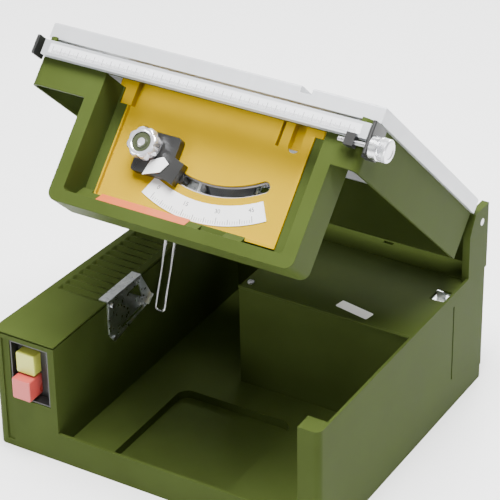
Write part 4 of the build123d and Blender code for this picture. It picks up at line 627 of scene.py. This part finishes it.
bracket_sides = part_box("rail_bracket")
bracket_left, bracket_right = bracket_sides[0].x, bracket_sides[1].x
bracket_leg = 0.0040
bracket_nose = bracket_right - bracket_leg
bracket_front, bracket_back, bracket_step = -0.0275, 0.0018, -0.0094
bracket_top, bracket_foot = -0.0217, -0.0548
nose_turn = np.linspace(0, np.pi / 2, 7)
nose_round = 0.0017
nose_x = np.concatenate((bracket_right - nose_round + nose_round * np.cos(nose_turn),
                         bracket_nose + nose_round - nose_round * np.sin(nose_turn)))
nose_y = np.concatenate((bracket_front + nose_round - nose_round * np.sin(nose_turn),
                         bracket_front + nose_round - nose_round * np.cos(nose_turn)))
plan_x = np.concatenate((nose_x, [bracket_nose, bracket_left, bracket_left, bracket_right]))
plan_y = np.concatenate((nose_y, [bracket_step, bracket_step, bracket_back, bracket_back]))


def angle_bracket():
    """An angle in plan, its nose rounded by two quarter circles, carried straight up from the
    foot to the top; the first and last rows shrink to a point inside the plan, where the two
    legs meet."""
    levels = np.array([bracket_foot, bracket_foot, bracket_top, bracket_top])
    x = np.tile(plan_x, (4, 1))
    y = np.tile(plan_y, (4, 1))
    x[[0, 3]] = (bracket_nose + bracket_right) / 2
    y[[0, 3]] = (bracket_step + bracket_back) / 2
    return on_table(x, y, levels[:, None].repeat(len(plan_x), 1))


bracket = woven("angle_rail_bracket", angle_bracket(), black, closed_round=True)
stands_for(bracket, "rail_bracket", "table_unit")
painted_with("adjust_spindle", screw_steel)


def turned(name, centre, axis, along, radius, material, steps=48, lobes=0, lobe_depth=0.0):
    """A profile carried once round an axis: centre + along·axis + radius·(cos t, sin t) across
    it. Where there are lobes, the radius shrinks by the square of a raised cosine of that
    many waves."""
    axis = np.array(axis, float) / np.linalg.norm(axis)
    side = np.cross(axis, (1.0, 0.0, 0.0))
    if np.linalg.norm(side) < 0.1:
        side = np.cross(axis, (0.0, 0.0, 1.0))
    side = side / np.linalg.norm(side)
    other = np.cross(axis, side)
    turn = np.linspace(0, 2 * np.pi, steps, endpoint=False)
    radius = np.array(radius, float)[:, None] * np.ones(steps)
    if lobes:
        wave = (0.5 + 0.5 * np.cos(lobes * turn)) ** 2
        radius = radius - np.array(lobe_depth)[:, None] * wave
    points = (np.array(centre, float) + np.array(along, float)[:, None, None] * axis
              + radius[..., None] * (np.cos(turn)[:, None] * side + np.sin(turn)[:, None] * other))
    return woven(name, points, material, closed_round=True)


drum_low, drum_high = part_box("adjust_drum")
drum_middle = (drum_low + drum_high) / 2
drum_radius = 0.0115
knurl_depth = 0.0007
drum_length = drum_high.x - drum_low.x
drum_steel = bright_steel("satin_chrome", (0.72, 0.73, 0.75), (0.82, 0.83, 0.85), 0.26)
plain_part = np.array([0, 0.0002, 0.0009, 0.0080, 0.0084, 0.0088, 0.0092, 0.0098])
plain_radius = drum_radius - np.array([drum_radius, 0.0016, 0.0, 0.0, 0.0006, 0.0009, 0.0006, 0.0])
knurled_part = np.linspace(0.0102, drum_length - 0.0010, 12)
end_part = drum_length - np.array([0.0004, 0.0, 0.0, 0.0006, 0.0006])
end_radius = drum_radius - np.array([0.0005, 0.0012, 0.0040, 0.0046, drum_radius])
along = np.concatenate((plain_part, knurled_part, end_part))
radius = np.concatenate((plain_radius, np.full(len(knurled_part), drum_radius), end_radius))
knurl = np.concatenate((np.zeros(len(plain_part)), np.full(len(knurled_part), knurl_depth),
                        np.zeros(len(end_part))))
drum_face = (drum_low.x, drum_middle.y, drum_middle.z)
drum = turned("knurled_drum", drum_face, (1, 0, 0), along, radius, drum_steel, 288, 48, knurl)
stands_for(drum, "adjust_drum", "drum")

# ---- knob, arm and pointer ----------------------------------------------------------------------
# The knob that raises the blade is chromed, with eight lobes and a sunk cap, on a black block
# that slides along the arc; a white pointer reads the tilt. The ring in the sunk cap is painted
# dark green as a painted reflection of the green housing in the chrome.
knob_joint = next(joint for joint in frame["joints"] if joint["name"] == "knob_turn")
knob_centre = np.array(knob_joint["pos_m"])
knob_length = 0.01665
knob_chrome = bright_steel("knob_chrome", (0.66, 0.66, 0.70), (0.78, 0.78, 0.82), 0.2, 0.7)
knob_neck = 0.0145
grip_depth = 0.0022
grip_start = 0.0015
core_inner, core_outer = 0.0040, 0.0103
knob_outline = np.array([
    (0.0, 0.0), (0.0, knob_neck), (0.0036, knob_neck), (0.0040, 0.0150), (0.0044, 0.0160),
    (0.0052, 0.0168), (0.0070, 0.0170), (0.0105, 0.0170), (0.0140, 0.0168), (0.0155, 0.0162),
    (0.0163, 0.0152), (knob_length, 0.0138), (knob_length, 0.0112), (0.0161, 0.0104),
    (0.0148, 0.0102), (0.0148, 0.0068), (0.0158, 0.0060), (0.0163, core_inner), (0.0165, 0.0),
])
knob_along = knob_outline[:, 0] - knob_length
knob_profile = knob_outline[:, 1]
knob_lobe = grip_depth * np.clip((knob_profile - knob_neck) / grip_start, 0, 1)
knob = turned("lobed_knob", knob_centre, front_axis, knob_along, knob_profile, knob_chrome,
              160, 8, knob_lobe)
# Painted reflection: the sunk cap between the two core radii is coloured dark green for the housing
# mirrored in the chrome.
knob_centre_painted_reflection = moulded("knob_centre_painted_reflection", (0.025, 0.03, 0.015), (0.05, 0.06, 0.03), 0.2, 500.0, 0.0001, 0.1)
knob.data.materials.append(knob_centre_painted_reflection)
for face in knob.data.polygons:
    from_axis = np.array(face.center) - knob_centre
    from_axis = from_axis - front_axis * (from_axis @ front_axis)
    face.material_index = int(core_inner < np.linalg.norm(from_axis) < core_outer)
stands_for(knob, "height_knob", "knob")
softened("knob_arm", "swing", black, 0.0009, 3)
softened("tilt_pointer", "swing", white, 0.0004)
painted_with("pinion_shaft", screw_steel)

# ---- swing frame and guide rods -----------------------------------------------------------------
# The frame that tilts is folded from galvanised plate; the motor unit slides in it on two
# ground rods. A slotted plate under the table guides its rear end.
for node in ("swing_frame", "rear_arc_bracket", "stay_lug"):
    body = "swing" if node == "swing_frame" else "table_unit"
    softened(node, body, zinc, 0.0003)
painted_with("guide_rods", screw_steel)
painted_with("height_rack", screw_steel)

# ---- motor and carriage -------------------------------------------------------------------------
# A universal motor in a painted steel can hangs on a cast carriage with ball bearings.
def hammered(name):
    """Grey hammered enamel: small soft dents over a slow cloud."""
    material, tree, shader = shader_of(name)
    dents = pattern(tree, "ShaderNodeTexVoronoi", 420.0)
    cloud = pattern(tree, "ShaderNodeTexNoise", 20.0, 3.0)
    tree.links.new(tones_of(tree, cloud.outputs["Fac"], (0.045, 0.047, 0.050), (0.07, 0.072, 0.076)),
                   shader.inputs["Base Color"])
    gloss_by(tree, shader, cloud.outputs["Fac"], 0.25, 0.4)
    raise_by(tree, shader, dents.outputs["Distance"], 0.0003, 0.3)
    shader.inputs["Metallic"].default_value = 0.3
    return material


def laminated(name):
    """A stack of thin iron sheets with varnished copper between: fine stripes along the shaft."""
    material, tree, shader = shader_of(name)
    sheets = pattern(tree, "ShaderNodeTexWave", 500.0, 0.0)
    tree.links.new(tones_of(tree, sheets.outputs["Fac"], (0.28, 0.10, 0.04), (0.45, 0.20, 0.10)),
                   shader.inputs["Base Color"])
    raise_by(tree, shader, sheets.outputs["Fac"], 0.0003, 0.4)
    shader.inputs["Roughness"].default_value = 0.38
    shader.inputs["Metallic"].default_value = 0.7
    return material


enamel = hammered("hammered_enamel")
stack = laminated("laminated_stack")
softened("motor_carriage", "carriage", enamel, 0.0004)
for node, material in (
    ("motor_housing", enamel), ("motor_flange", enamel), ("motor_stator", stack), ("armature", stack),
    ("motor_bearings", screw_steel), ("motor_brushes", black), ("motor_pulley", drawn_aluminium),
    ("drive_belt", rubber),
):
    painted_with(node, material)

# ---- arbor and blade ----------------------------------------------------------------------------
# The toothed blade is clamped between two turned flanges by a nut on the arbor.
blade_steel = bright_steel("blade_steel", (0.50, 0.50, 0.52), (0.66, 0.66, 0.68), 0.22)
for node in ("arbor_shaft", "arbor_bearings", "blade_flanges", "arbor_nut"):
    painted_with(node, screw_steel)
painted_with("arbor_pulley", drawn_aluminium)
painted_with("saw_blade", blade_steel)

# ---- stay ---------------------------------------------------------------------------------------
# A bright bent wire hangs from its pin under the table and drops into the bracket on the wing.
wire_steel = bright_steel("bright_wire", (0.75, 0.75, 0.76), (0.85, 0.85, 0.86), 0.18)
painted_with("lid_stay", wire_steel)
painted_with("stay_pin", screw_steel)
